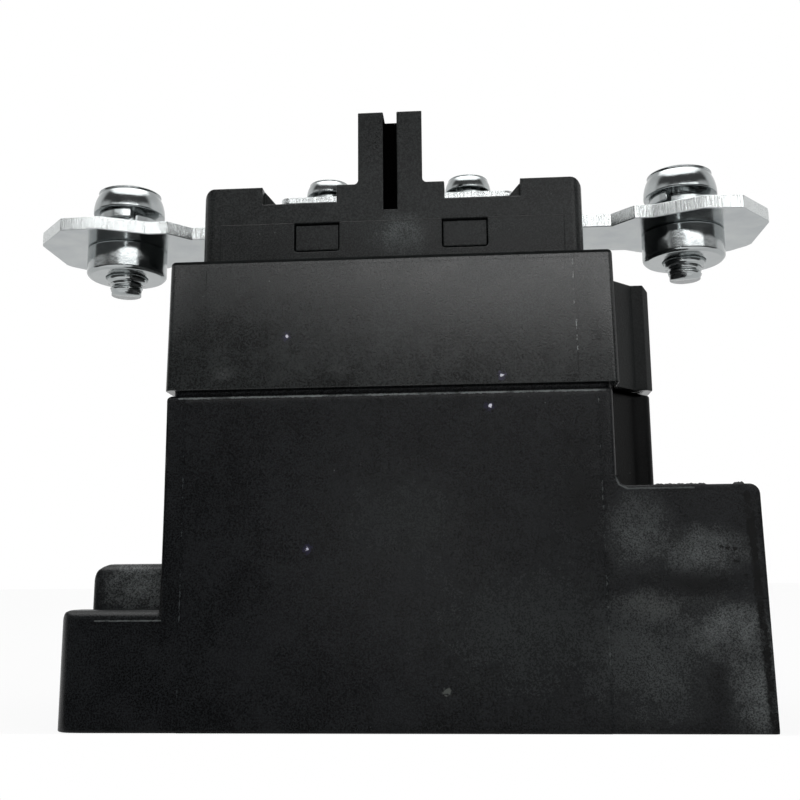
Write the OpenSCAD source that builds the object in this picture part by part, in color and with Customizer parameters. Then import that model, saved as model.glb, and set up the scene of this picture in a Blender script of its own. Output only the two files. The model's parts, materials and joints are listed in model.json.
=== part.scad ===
// Power relay with two side busbars, front towards -Y, standing on its base.
// X = 0 is the plane between the two poles and Y = 0 the plane of the terminal screws.

/* [Base case] */
// Half width of the base case at its front
base_half_w = 33.2; // [32:0.1:36]
// Distance that the left side stands further out than the right side
left_out = 0.7; // [0:0.1:1]
// Half depth of the base case
base_half_d = 23.7; // [22.5:0.1:27]
// Height of the base case's outer rim
base_h = 49.3; // [48:0.1:56]
// Wall thickness of the base case
base_wall = 2.4; // [1.8:0.1:2.8]
// Thickness of the base case's floor
base_floor = 2.4; // [1.8:0.1:3]
// Radius of the base case's upright corners
base_corner_r = 0.9; // [0.6:0.1:2]
// Radius of the base case's rounded rim
rim_r = 0.9; // [0.4:0.1:1.2]
// Half width of the raised panel on the base case's front
base_panel_half_w = 31; // [26:0.5:31]
// Height that the moulded front panels stand proud
panel_proud = 0.15; // [0.1:0.05:0.4]
// Height of the tongue that locates the cover
tongue_h = 2.2; // [1.5:0.1:3]
// Thickness of the tongue
tongue_t = 1.2; // [0.8:0.1:1.6]

/* [Feet and blocks] */
// Distance that the outer sides spread towards their foot
side_draft = 0.4; // [0.1:0.05:0.6]
// Width of the block on the right of the base
block_w = 20.1; // [17:0.1:24]
// Height of the block on the right of the base
block_h = 34.6; // [28:0.1:40]
// Depth of the block on the right of the base
block_d = 17.6; // [14:0.1:20]
// Radius of the block's top corner
block_corner_r = 1.5; // [1:0.1:3]
// Radius of the hollow corner between base and block
block_fillet_r = 1.4; // [1:0.1:3]
// Width of the ear on the left of the base
ear_w = 15.8; // [14:0.1:18]
// Height of the ear
ear_h = 17.4; // [14:0.1:20]
// Depth of the ear
ear_d = 6.4; // [4:0.1:8]
// Radius of the ear's upright corner
ear_corner_r = 3; // [1.5:0.1:3]
// Radius of the ear's upper edges
ear_edge_r = 1.7; // [0.8:0.1:2]
// Height of the lug behind the ear
lug_h = 24.2; // [20:0.1:28]
// Depth of the lug behind the ear
lug_d = 13.4; // [10:0.1:16]
// Gap between the ear and the lug
lug_gap = 1; // [0.6:0.1:1.5]
// Distance that the lug stays inside the ear's end
lug_inset = 2.1; // [1:0.1:3]
// Radius of the lug's upper corner as seen from the front
lug_edge_r = 2.8; // [1.5:0.1:3.5]
// Height of the two mounting feet
foot_h = 8; // [6:0.5:10]
// Distance from the screw plane to the mounting holes
foot_hole_y = 8; // [6:0.5:10]
// Distance from the base wall to the left mounting hole
left_hole_out = 7.8; // [7:0.1:8.5]
// Distance from the base wall to the right mounting hole
right_hole_out = 11.3; // [9:0.1:12]
// Distance that the feet reach behind the mounting holes
foot_reach = 9; // [7.5:0.5:12]
// Diameter of the mounting holes for M5 screws
mount_bore_d = 5.5; // [5.2:0.1:6]
// Wall of the steel mounting sleeves
sleeve_wall = 1.25; // [0.8:0.05:1.5]

/* [Side duct] */
// Width of the duct on the right side of base and cover
duct_w = 6.8; // [5:0.1:8]
// Distance from the front face back to the duct's face
duct_back = 8; // [6:0.1:10]
// Depth of the duct
duct_d = 31; // [24:0.5:34]
// Distance from the base's side to the foremost edge of the duct
duct_slope = 4.1; // [2:0.1:5]
// Distance from the cover's top down to the duct's top
duct_drop = 3.7; // [2:0.1:8]
// Wall thickness of the duct
duct_wall = 1.8; // [1.4:0.1:2]
// Distance that the cover's duct stands out past the base's duct
duct_over = 0.5; // [0.2:0.05:0.8]
// Bevel along the upper edge of the duct
duct_bevel = 0.9; // [0.4:0.1:1.4]

/* [Contact cover] */
// Height of the cover from its foot to its top
cover_h = 20.5; // [19:0.1:24]
// Distance that the cover's sides stand out past the base case
cover_out = 1.05; // [0.7:0.05:1.3]
// Distance that the cover's front stands out past the base case
cover_front_out = 0.35; // [0.2:0.05:0.6]
// Gap between base rim and cover
cover_gap = 0.7; // [0.4:0.1:1]
// Draft of the cover's sides over its height
cover_draft = 0.2; // [0.1:0.05:0.4]
// Wall thickness of the cover
cover_wall = 2.4; // [2:0.1:2.8]
// Thickness of the cover's top
cover_roof = 2.8; // [2:0.1:3.5]
// Radius of the cover's upright corners
cover_corner_r = 1; // [0.6:0.1:2]
// Radius of the cover's upper edges
cover_edge_r = 0.6; // [0.3:0.1:1]
// Half width of the raised panel on the cover
cover_panel_half_w = 28.2; // [24:0.1:30]
// Distance that the panel stays below the cover's top
cover_panel_drop = 1.2; // [0.8:0.1:3]

/* [Terminal carrier] */
// Half width of the carrier
carrier_half_w = 30.6; // [29:0.1:32]
// Half depth of the carrier
carrier_half_d = 18.6; // [18:0.1:20]
// Height of the carrier's shoulders above the cover
carrier_h = 13.8; // [13.5:0.1:15.5]
// Radius of the carrier's upright corners
carrier_corner_r = 2; // [1:0.1:2.4]
// Radius of the carrier's top corners
shoulder_r = 1.8; // [1:0.1:2.4]
// Thickness of the carrier's front and rear walls
carrier_wall = 2.2; // [1.6:0.1:2.6]
// Half width of the raised band on the carrier's front
band_half_w = 27.5; // [24:0.1:28]
// Height of the raised band
band_h = 7.5; // [6.5:0.1:8.5]
// Width of the barrier column
column_w = 10.4; // [9:0.1:11]
// Height of the barrier column above the shoulders
column_h = 12.3; // [10:0.1:15]
// Depth of the barrier column
column_d = 5.6; // [5.2:0.1:8]
// Distance that each side of the column runs in towards its rear
column_taper = 0.3; // [0:0.1:0.6]
// Radius of the fillet at the column's foot
column_fillet_r = 0.7; // [0.4:0.1:1]
// Width of the slot in the column
slot_w = 2.6; // [2:0.1:3]
// Depth of the slot in the column
slot_d = 4.1; // [3:0.1:4.5]
// Distance from the shoulders down to the slot's lower end
slot_drop = 4.4; // [3:0.1:5.5]
// Distance from the centre to the inner wall of each notch
notch_in = 8.7; // [8.6:0.1:9.2]
// Distance from the centre to the outer wall of each notch
notch_out = 20.8; // [20.8:0.1:22]
// Distance from the shoulders down to the notch's floor
notch_drop = 2.9; // [2.3:0.1:3.1]
// Width of the slope behind each notch
notch_slope = 2.5; // [1.5:0.1:3]
// Distance from the centre to each window's inner edge
window_in = 8.2; // [7:0.1:9]
// Width of each window
window_w = 7.3; // [5:0.1:8]
// Height of each window
window_h = 4.9; // [4:0.1:5.5]
// Distance from the band's top to the windows
window_drop = 0; // [0:0.1:0.5]
// Gap round the snap hooks at the sides
hook_gap = 0.3; // [0.2:0.05:0.5]
// Gap above the snap hooks
hook_top_gap = 0.6; // [0.4:0.05:1]

/* [Main busbars] */
// Distance from the centre to the left main screw
main_left_x = 49.4; // [48:0.1:56]
// Distance from the centre to the right main screw
main_right_x = 49.8; // [48:0.1:56]
// Height of the busbars' underside above the cover
bar_rise = 10; // [9.5:0.05:10.5]
// Thickness of the busbars
bar_t = 2.3; // [2:0.05:2.4]
// Distance from the screw plane to the neck's front edge
neck_front = 5.4; // [4.8:0.1:6]
// Distance from the screw plane to the neck's rear edge
neck_rear = 7.7; // [6:0.1:8]
// Half depth of the spade end
spade_half_d = 12.6; // [11:0.1:14]
// Distance from the centre to the busbars' tips
bar_end = 63.4; // [62:0.1:72]
// Clearance round the busbars in the carrier
bar_gap = 0.1; // [0.05:0.05:0.2]

/* [Main terminal screws] */
// Thread diameter of the main screws
main_d = 6; // [5:0.5:6]
// Diameter of the main screw heads
main_head_d = 12.6; // [11:0.1:13]
// Height of the main screw heads
main_head_h = 5.4; // [3.6:0.1:5.8]
// Length that the main screws stick out under the nuts
main_tip = 3; // [1:0.1:4]
// Diameter of the round nuts
nut_d = 14; // [12:0.1:15]
// Height of the round nuts
nut_h = 5.1; // [4:0.1:6]
// Diameter of the main flat washers
flat_washer_d = 12.8; // [12:0.1:14]
// Thickness of the main flat washers
flat_washer_t = 1.4; // [1:0.1:1.6]
// Outer diameter of the main spring washers
spring_washer_d = 10.8; // [10:0.1:12.4]
// Thickness of the main spring washers' section
spring_washer_t = 1.7; // [1.2:0.1:2]
// Height of the main spring washers as fitted
spring_washer_h = 2.9; // [2.6:0.05:3.2]

/* [Coil terminals] */
// Distance from the centre to each coil screw
coil_x = 12.5; // [12.4:0.1:13]
// Height of the coil plates' underside above the busbars' underside
coil_rise = 6; // [5.8:0.1:7]
// Thickness of the coil plates
coil_plate_t = 1.1; // [0.8:0.1:1.5]
// Half depth of the coil plates
coil_plate_half_d = 5.6; // [5:0.1:7]
// Distance from the centre to the coil plates' outer ends
coil_plate_out = 20.4; // [20:0.1:21]
// Distance from the centre to the coil plates' inner ends
coil_plate_in = 7; // [6.5:0.1:7.4]
// Thread diameter of the coil screws
coil_d = 4; // [3:0.5:4]
// Diameter of the coil screw heads
coil_head_d = 8.1; // [7:0.1:9]
// Height of the coil screw heads
coil_head_h = 3.2; // [2.4:0.1:3.4]
// Thickness of the coil spring washers' section
coil_washer_t = 1; // [0.8:0.1:1.2]
// Height of the coil spring washers as fitted
coil_washer_h = 1.7; // [1.5:0.05:2]
// Width across the coil nuts
coil_nut_w = 7; // [6.5:0.1:7.4]
// Height of the coil nuts
coil_nut_h = 3; // [2.6:0.1:3.2]
// Width of the coil plates' soldering legs
leg_w = 3.4; // [2.5:0.1:4]
// Distance from the cover's top down to the lower end of the legs
leg_drop = 8.5; // [6.5:0.5:9.5]
// Distance from the screw plane back to the legs
leg_y = 14.2; // [13:0.1:15]
// Distance from the centre to the legs
leg_x = 18.6; // [18:0.1:18.8]

/* [Contacts] */
// Distance from the centre to each contact post
post_x = 20; // [19:0.1:20.5]
// Diameter of the contact posts
post_d = 9; // [8:0.1:9.6]
// Diameter of the posts' rivet ends
rivet_d = 6; // [5:0.1:6.5]
// Clearance round the contact posts
post_gap = 0.15; // [0.1:0.05:0.3]
// Diameter of the contact tips
tip_d = 8; // [6:0.1:8.6]
// Thickness of the contact tips
tip_t = 1.2; // [0.8:0.1:1.5]
// Distance from the cover's ceiling down to the fixed tips' faces
fixed_drop = 5.6; // [5.1:0.1:5.7]
// Open gap between fixed and moving tips
contact_gap = 2.1; // [1.8:0.1:2.2]
// Width of the contact bridge
bridge_w = 11; // [9:0.5:13]
// Thickness of the contact bridge
bridge_t = 2.5; // [2:0.1:2.6]

/* [Coil and plunger] */
// Outer diameter of the winding
winding_d = 31; // [28:0.5:32]
// Outer diameter of the bobbin's flanges
flange_d = 34; // [32:0.5:35]
// Thickness of the bobbin's flanges
flange_t = 2; // [1.5:0.1:2.4]
// Outer diameter of the bobbin's tube
bobbin_tube_d = 15.4; // [15:0.1:17]
// Outer diameter of the guide sleeve
sleeve_d = 13.2; // [13:0.1:13.6]
// Diameter of the plunger
plunger_d = 12; // [11:0.1:12.2]
// Running clearance between moving and fixed round pieces
run_gap = 0.08; // [0.05:0.01:0.1]
// Lift of the plunger
plunger_lift = 2.8; // [2.6:0.1:3]
// Distance from the yoke plate down to the fixed core's face
core_drop = 17.6; // [15.6:0.1:19.6]
// Diameter of the plunger shaft
shaft_d = 4; // [3.5:0.1:4.5]
// Thickness of the rubber cushion
cushion_t = 1.5; // [1:0.1:2]
// Wire diameter of the return spring
return_wire = 0.8; // [0.6:0.1:1]
// Mean diameter of the return spring
return_mean_d = 6.6; // [6.2:0.1:7]
// Turns of the return spring
return_turns = 7; // [5:1:9]
// Depth of the return spring's seat in the plunger
plunger_seat = 7; // [5:0.5:9]
// Depth of the return spring's seat in the core
core_seat = 6; // [4:0.5:8]
// Wire diameter of the contact spring
contact_wire = 1; // [0.8:0.1:1.1]
// Mean diameter of the contact spring
contact_mean_d = 7.2; // [6.6:0.1:8]
// Turns of the contact spring
contact_turns = 3; // [2:1:3]

/* [Yoke and magnets] */
// Thickness of the yoke's steel
yoke_t = 3; // [2.5:0.1:3]
// Inner half width of the yoke frame
yoke_half_w = 18.6; // [18:0.1:20]
// Half depth of the yoke frame
yoke_half_d = 13; // [10:0.5:16]
// Distance from the base's rim down to the yoke plate's underside
yoke_drop = 4.7; // [4.3:0.1:5.3]
// Distance from the base's inner wall to the yoke plate's screws
yoke_screw_in = 4.4; // [4:0.1:5]
// Thread diameter of the yoke plate's screws
yoke_screw_d = 3; // [2.5:0.5:3]
// Diameter of the heads of the yoke plate's screws
yoke_head_d = 5.6; // [5:0.1:6]
// Height of the heads of the yoke plate's screws
yoke_head_h = 1.9; // [1.5:0.1:2.2]
// Length of the yoke plate's screws in their posts
yoke_screw_reach = 8; // [6:0.5:9]
// Diameter of the posts that carry the yoke plate
yoke_post_d = 7; // [6:0.1:7.2]
// Diameter of the fixed core's rivet end
core_rivet_d = 9; // [8:0.1:10]
// Thickness of the chamber floor
chamber_floor_t = 1.6; // [1.2:0.1:1.6]
// Length of the arc magnets
magnet_w = 26; // [18:0.5:28]
// Height of the arc magnets
magnet_h = 13; // [10:0.5:15]
// Thickness of the arc magnets
magnet_t = 3; // [2:0.1:3.2]
// Diameter of the coil leads
lead_d = 1.6; // [1.2:0.1:1.8]
// Distance from the base's inner wall to each coil lead
lead_in = 8.4; // [8.2:0.1:9]
// Distance from the centre to the blocks that anchor the leads
anchor_x = 9; // [8:0.1:10]
// Width of the blocks that anchor the leads
anchor_w = 4; // [3:0.1:4.5]

/* [Hidden] */
$fn = 64;
eps = 0.01;
snug = 0.2;
hull_fn = 32;
spring_fn = 10;

cover_z = base_h + cover_gap;
cover_half_w = base_half_w + cover_out;
cover_half_d = base_half_d + cover_front_out;
cover_top = cover_z + cover_h;
tongue_top = base_h + tongue_h;
tongue_in = 1.1;
cover_inner_z = cover_top - cover_roof;

duct_y = -base_half_d + duct_back;
duct_out = base_half_w + duct_w;
duct_rear = duct_y + duct_d;
duct_face = base_half_w + duct_slope;
duct_top = cover_top - duct_drop;

left_hole_x = -base_half_w - left_hole_out;
right_hole_x = base_half_w + right_hole_out;
foot_rear = foot_hole_y + foot_reach;
lug_y = -base_half_d + ear_d + lug_gap;
foot_front = -base_half_d + block_d - 0.5;

carrier_top = cover_top + carrier_h;
band_top = cover_top + band_h;
column_top = carrier_top + column_h;
slot_foot = carrier_top - slot_drop;
notch_floor = carrier_top - notch_drop;
bar_z = cover_top + bar_rise;

window_top = band_top - window_drop;
window_foot = window_top - window_h;
hook_depth = 1.5;
hook_foot_gap = 0.3;

head_z = bar_z + bar_t + flat_washer_t + spring_washer_h;
nut_z = bar_z - nut_h;

coil_plate_z = bar_z + coil_rise;
coil_seat_z = coil_plate_z + coil_plate_t;
coil_head_z = coil_seat_z + coil_washer_h;
coil_nut_z = coil_plate_z - coil_nut_h;
coil_tip_z = coil_nut_z - 1.2;
leg_foot = cover_top - leg_drop;

bar_inner = post_x - rivet_d / 2 - 2;
fixed_face_z = cover_inner_z - fixed_drop;
bridge_top = fixed_face_z - contact_gap - tip_t;
bridge_z = bridge_top - bridge_t;
clip_t = 0.8;
clip_d = 8.4;
seat_t = 1.2;
seat_d = 10.4;
seat_z = tongue_top - 1.4;
groove_d = shaft_d - 0.8;
shaft_top = bridge_top + clip_t + 1.2;

yoke_plate_z = base_h - yoke_drop;
core_face_z = yoke_plate_z - core_drop;
cavity_z = base_floor;
yoke_floor_z = cavity_z + yoke_t;
bobbin_z = yoke_floor_z + 0.1;
bobbin_top = yoke_plate_z - 0.1;
cushion_z = yoke_floor_z;
plunger_z = cushion_z + cushion_t;
plunger_top = core_face_z - plunger_lift;
sleeve_bore = plunger_d + 2 * run_gap;
core_d = sleeve_bore - 0.04;
seat_bore = return_mean_d + return_wire + 0.6;
shaft_foot = plunger_z + 2;
yoke_plate_top = yoke_plate_z + yoke_t;
post_screw_x = base_half_w - base_wall - yoke_screw_in;
post_screw_y = base_half_d - base_wall - yoke_screw_in - 0.3;
chamber_floor_z = yoke_plate_top + 0.05;
chamber_floor_half_w = base_half_w - base_wall - snug;
chamber_floor_half_d = base_half_d - base_wall - snug;

magnet_z = tongue_top + 1;
magnet_y = cover_half_d - cover_wall - snug - magnet_t;
lead_y = base_half_d - base_wall - lead_d / 2 - 0.6;
lead_x = base_half_w - base_wall - lead_in;

black = "#242526";
base_black = "#1b1c1d";
plate = "#c9cbca";
copper = "#b87a52";
steel = "#8d9092";

// Rectangle with rounded corners, given by its low and high edges
module rounded_rect(x0, x1, y0, y1, r) {
    hull()
        for (x = [x0 + r, x1 - r], y = [y0 + r, y1 - r])
            translate([x, y]) circle(r, $fn = hull_fn);
}

// The same rectangle put together from exact straight and round pieces
module corner_rect(x0, x1, y0, y1, r) {
    union() {
        translate([x0 + r, y0]) square([x1 - x0 - 2 * r, y1 - y0]);
        translate([x0, y0 + r]) square([x1 - x0, y1 - y0 - 2 * r]);
        for (x = [x0 + r, x1 - r], y = [y0 + r, y1 - r])
            translate([x, y]) circle(r);
    }
}

// Sharp box given by its low and high edges
module span_box(x, y, z) {
    translate([x[0], y[0], z[0]]) cube([x[1] - x[0], y[1] - y[0], z[1] - z[0]]);
}

// Upright rod with its foot at the given point
module rod(d, h, at = [0, 0, 0]) {
    translate(at) cylinder(d = d, h = h);
}

// Upright tube with its foot at the given point
module tube(d, bore, h, at = [0, 0, 0]) {
    translate(at)
        rotate_extrude()
            translate([bore / 2, 0]) square([(d - bore) / 2, h]);
}

// Cap with rounded upper edges, tapered by the draft between its foot and its top
module soft_cap(x, y, z, corner, edge, draft = 0) {
    hull() {
        translate([0, 0, z[0]])
            linear_extrude(eps)
                rounded_rect(x[0], x[1], y[0], y[1], corner);
        for (a = [0, 30, 60, 90]) {
            in = draft + edge * (1 - cos(a));
            translate([0, 0, z[1] - edge * (1 - sin(a)) - eps])
                linear_extrude(eps)
                    rounded_rect(x[0] + in, x[1] - in, y[0] + in, y[1] - in,
                        max(corner - edge * (1 - cos(a)), 0.2));
        }
    }
}

// View of a block whose upper corners are round and whose sides may spread to the foot
module top_round(a0, a1, z0, z1, r, spread = [0, 0]) {
    h = z1 - z0;
    lean0 = atan(spread[0] / h);
    lean1 = atan(spread[1] / h);
    c0 = a0 - spread[0] * r / h + r / cos(lean0);
    c1 = a1 + spread[1] * r / h - r / cos(lean1);
    union() {
        polygon([[a0 - spread[0], z0], [c0 - r * cos(lean0), z1 - r + r * sin(lean0)], [c0, z1],
            [c1, z1], [c1 + r * cos(lean1), z1 - r + r * sin(lean1)], [a1 + spread[1], z0]]);
        for (c = [c0, c1]) translate([c, z1 - r]) circle(r);
    }
}

// Upright block with round corners and round upper edges, cut from its three views
module soft_block(x, y, z, corner, edge, brow, spread = [0, 0]) {
    reach = (z[1] - z[0] + 1) / (z[1] - z[0]);
    intersection() {
        translate([0, 0, z[0]])
            linear_extrude(z[1] - z[0])
                corner_rect(x[0] - spread[0], x[1] + spread[1], y[0], y[1], corner);
        translate([0, y[1] + 1, 0])
            rotate([90, 0, 0])
                linear_extrude(y[1] - y[0] + 2)
                    top_round(x[0], x[1], z[0] - 1, z[1], edge, spread * reach);
        translate([x[0] - spread[0] - 1, 0, 0])
            rotate([90, 0, 90])
                linear_extrude(x[1] - x[0] + spread[0] + spread[1] + 2)
                    top_round(y[0], y[1], z[0] - 1, z[1], brow);
    }
}

// Slot cutter with rounded lower corners, cut through a front wall
module window_cut(x0, x1, z0, z1, y0, y1, r) {
    translate([0, y1, 0])
        rotate([90, 0, 0])
            linear_extrude(y1 - y0)
                union() {
                    translate([x0, z0 + r]) square([x1 - x0, z1 - z0 - r]);
                    translate([x0 + r, z0]) square([x1 - x0 - 2 * r, r + eps]);
                    for (x = [x0 + r, x1 - r]) translate([x, z0 + r]) circle(r);
                }
}

// Outline of the duct beside the base and the cover, from the front slope to the rear
module duct_outline(side, face, outer, front, rear, r) {
    slope_y = front - face + side;
    polygon([[side - 1, slope_y], [side, slope_y], [face, front],
        [outer - r, front], [outer, front + r], [outer, rear - r], [outer - r, rear],
        [side - 1, rear]]);
}

// Outline of the base's front: rim, hollow corner and right block, standing on the floor
module block_outline() {
    x0 = base_half_w - base_corner_r;
    x1 = base_half_w + block_w;
    r = block_corner_r;
    lean = atan(side_draft / block_h);
    c = x1 + side_draft * r / block_h - r / cos(lean);
    union() {
        difference() {
            translate([x0, 0])
                square([base_half_w + block_fillet_r - x0, block_h + block_fillet_r]);
            translate([base_half_w + block_fillet_r, block_h + block_fillet_r])
                circle(block_fillet_r);
        }
        polygon([[x0, 0], [x0, block_h], [c, block_h],
            [c + r * cos(lean), block_h - r + r * sin(lean)], [x1 + side_draft, 0]]);
        translate([c, block_h - r]) circle(r);
    }
}

// Mounting foot with its hole left plain, from the base wall outwards
module foot(side, out, hole_x) {
    r = 4;
    x_end = side * (base_half_w + out);
    linear_extrude(foot_h)
        hull() {
            for (y = [foot_rear - r, foot_front + r])
                translate([x_end - side * r, y]) circle(r);
            translate([side * (base_half_w - 1) - 0.5, foot_front])
                square([1, foot_rear - foot_front]);
        }
    translate([hole_x, foot_hole_y, 0])
        cylinder(d = mount_bore_d + 2 * sleeve_wall + 4, h = foot_h + 0.8);
}

module base_case() {
    sleeve_od = mount_bore_d + 2 * sleeve_wall;
    color(base_black)
        difference() {
            union() {
                soft_block([-base_half_w - left_out, base_half_w], [-base_half_d, base_half_d],
                    [0, base_h], base_corner_r, rim_r, rim_r, [side_draft, 0]);
                // raised front panel
                span_box([-base_panel_half_w, base_panel_half_w],
                    [-base_half_d - panel_proud, 0], [0, base_h - rim_r]);
                // right block
                translate([0, -base_half_d + block_d, 0])
                    rotate([90, 0, 0])
                        linear_extrude(block_d)
                            block_outline();
                // left ear and the lug behind it
                soft_block([-base_half_w - ear_w, -base_half_w + 4], [-base_half_d, -base_half_d + ear_d],
                    [0, ear_h], ear_corner_r, ear_edge_r, ear_edge_r, [side_draft, 0]);
                soft_block([-base_half_w - ear_w + lug_inset, -base_half_w + 4], [lug_y, lug_y + lug_d],
                    [0, lug_h], ear_corner_r / 2, lug_edge_r, ear_edge_r, [side_draft, 0]);
                span_box([-base_half_w - ear_w + ear_corner_r, -base_half_w],
                    [-base_half_d + ear_d - 1, lug_y + 1], [0, foot_h]);
                foot(-1, ear_w - 1.2, left_hole_x);
                foot(1, block_w - 1.2, right_hole_x);
                // duct on the right side
                linear_extrude(base_h)
                    duct_outline(base_half_w, duct_face, duct_out, duct_y, duct_rear, 0.8);
                // tongue that locates the cover
                span_box([-base_half_w + tongue_in, base_half_w - tongue_in],
                    [-base_half_d + tongue_in, base_half_d - tongue_in], [1, tongue_top]);
            }
            // cavity of the coil
            span_box([-base_half_w + base_wall, base_half_w - base_wall],
                [-base_half_d + base_wall, base_half_d - base_wall],
                [cavity_z, tongue_top + 1]);
            // cavity of the duct
            span_box([base_half_w - base_wall - 1, duct_out - duct_wall],
                [duct_y + duct_wall, duct_rear - duct_wall], [foot_h + 4, tongue_top + 1]);
            // the mounting bores take the steel sleeves
            for (x = [left_hole_x, right_hole_x])
                translate([x, foot_hole_y, -1]) cylinder(d = sleeve_od, h = foot_h + 3);
        }
    // posts that carry the yoke plate
    color(base_black)
        difference() {
            for (x = [-1, 1], y = [-1, 1]) {
                rod(yoke_post_d, yoke_plate_z - 1, [x * post_screw_x, y * post_screw_y, 1]);
                translate([min(x * post_screw_x, x * (base_half_w - 1)), y * post_screw_y - 1, 1])
                    cube([base_half_w - 1 - post_screw_x, 2, yoke_plate_z - 2.5]);
            }
            for (x = [-1, 1], y = [-1, 1])
                rod(yoke_screw_d, yoke_screw_reach + 4,
                    [x * post_screw_x, y * post_screw_y, yoke_plate_z - yoke_screw_reach - 1]);
        }
}

// Snap hook of the cover, standing up behind one window of the carrier
module snap_hook(side, face) {
    x0 = window_in + hook_gap;
    x1 = window_in + window_w - hook_gap;
    z0 = window_foot + hook_foot_gap;
    z1 = window_top - hook_top_gap;
    inner_y = carrier_half_d - carrier_wall - 0.15;
    outer_y = carrier_half_d - 0.25;
    translate([side > 0 ? x0 : -x1, 0, 0])
        rotate([90, 0, 90])
            linear_extrude(x1 - x0)
                polygon([[face * (inner_y - hook_depth), cover_top - 1], [face * inner_y, cover_top - 1],
                    [face * inner_y, z0], [face * outer_y, z0], [face * outer_y, z0 + 1.2],
                    [face * inner_y, z1], [face * (inner_y - hook_depth), z1]]);
}

module contact_cover() {
    duct_edge = duct_out + duct_over;
    panel_y = -cover_half_d - panel_proud;
    panel_top = cover_top - cover_panel_drop;
    color(black)
        difference() {
            union() {
                soft_cap([-cover_half_w, cover_half_w], [-cover_half_d, cover_half_d],
                    [cover_z, cover_top], cover_corner_r, cover_edge_r, cover_draft);
                // raised front panel with the same draft
                translate([-cover_panel_half_w, 0, 0])
                    rotate([90, 0, 90])
                        linear_extrude(2 * cover_panel_half_w)
                            polygon([[panel_y, cover_z + 1], [0, cover_z + 1], [0, panel_top],
                                [panel_y + cover_draft, panel_top]]);
                translate([0, 0, cover_z])
                    linear_extrude(duct_top - cover_z)
                        duct_outline(cover_half_w - cover_draft, duct_face + duct_over, duct_edge,
                            duct_y - 0.2, duct_rear + duct_over, 1);
                for (side = [-1, 1], face = [-1, 1]) snap_hook(side, face);
            }
            // chamber of the contacts
            span_box([-cover_half_w + cover_wall, cover_half_w - cover_wall],
                [-cover_half_d + cover_wall, cover_half_d - cover_wall], [cover_z - 1, cover_inner_z]);
            // step that takes the base's tongue
            span_box([-base_half_w + tongue_in - 0.1, base_half_w - tongue_in + 0.1],
                [-base_half_d + tongue_in - 0.1, base_half_d - tongue_in + 0.1],
                [cover_z - 1, tongue_top]);
            // bevel along the duct's upper edge
            translate([0, duct_rear + 2, 0])
                rotate([90, 0, 0])
                    linear_extrude(duct_rear - duct_y + 4)
                        polygon([[duct_edge - duct_bevel - 1, duct_top + 1], [duct_edge + 1, duct_top + 1],
                            [duct_edge + 1, duct_top - duct_bevel - 1]]);
            // cavity of the duct
            span_box([cover_half_w - cover_wall - 1, duct_out - duct_wall],
                [duct_y + duct_wall, duct_rear - duct_wall], [cover_z - 1, duct_top - duct_wall]);
            for (side = [-1, 1]) {
                rod(post_d + 2 * post_gap, cover_roof + 2, [side * post_x, 0, cover_inner_z - 1]);
                // way for the coil terminal's leg
                span_box([side * leg_x - leg_w / 2 - snug, side * leg_x + leg_w / 2 + snug],
                    [leg_y - snug, leg_y + coil_plate_t + snug], [cover_inner_z - 1, cover_top + 1]);
            }
        }
    // ribs that hold the arc magnets
    color(black)
        for (face = [-1, 1]) {
            span_box([-magnet_w / 2 - 1.6, magnet_w / 2 + 1.6],
                [min(face * (magnet_y - snug), face * (magnet_y - snug - 1.2)),
                    max(face * (magnet_y - snug), face * (magnet_y - snug - 1.2))],
                [magnet_z + 2, cover_inner_z + eps]);
            for (side = [-1, 1])
                span_box([min(side * (magnet_w / 2 + snug), side * (magnet_w / 2 + snug + 1.4)),
                        max(side * (magnet_w / 2 + snug), side * (magnet_w / 2 + snug + 1.4))],
                    [min(face * (magnet_y - snug - 1), face * (cover_half_d - cover_wall + eps)),
                        max(face * (magnet_y - snug - 1), face * (cover_half_d - cover_wall + eps))],
                    [magnet_z, cover_inner_z + eps]);
        }
}

// Front view of the carrier's shoulders with their round top corners
module shoulder_outline() {
    w = carrier_half_w;
    r = shoulder_r;
    union() {
        translate([-w, cover_top]) square([2 * w, carrier_top - r - cover_top]);
        translate([-w + r, cover_top]) square([2 * w - 2 * r, carrier_top - cover_top]);
        for (side = [-1, 1]) translate([side * (w - r), carrier_top - r]) circle(r);
    }
}

// Notch in the carrier behind the front wall, its outer side sloped
module notch_outline() {
    polygon([[notch_in, notch_floor], [notch_out - notch_slope, notch_floor],
        [notch_out + 0.3, carrier_top + 0.4], [notch_in, carrier_top + 0.4]]);
}

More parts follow.
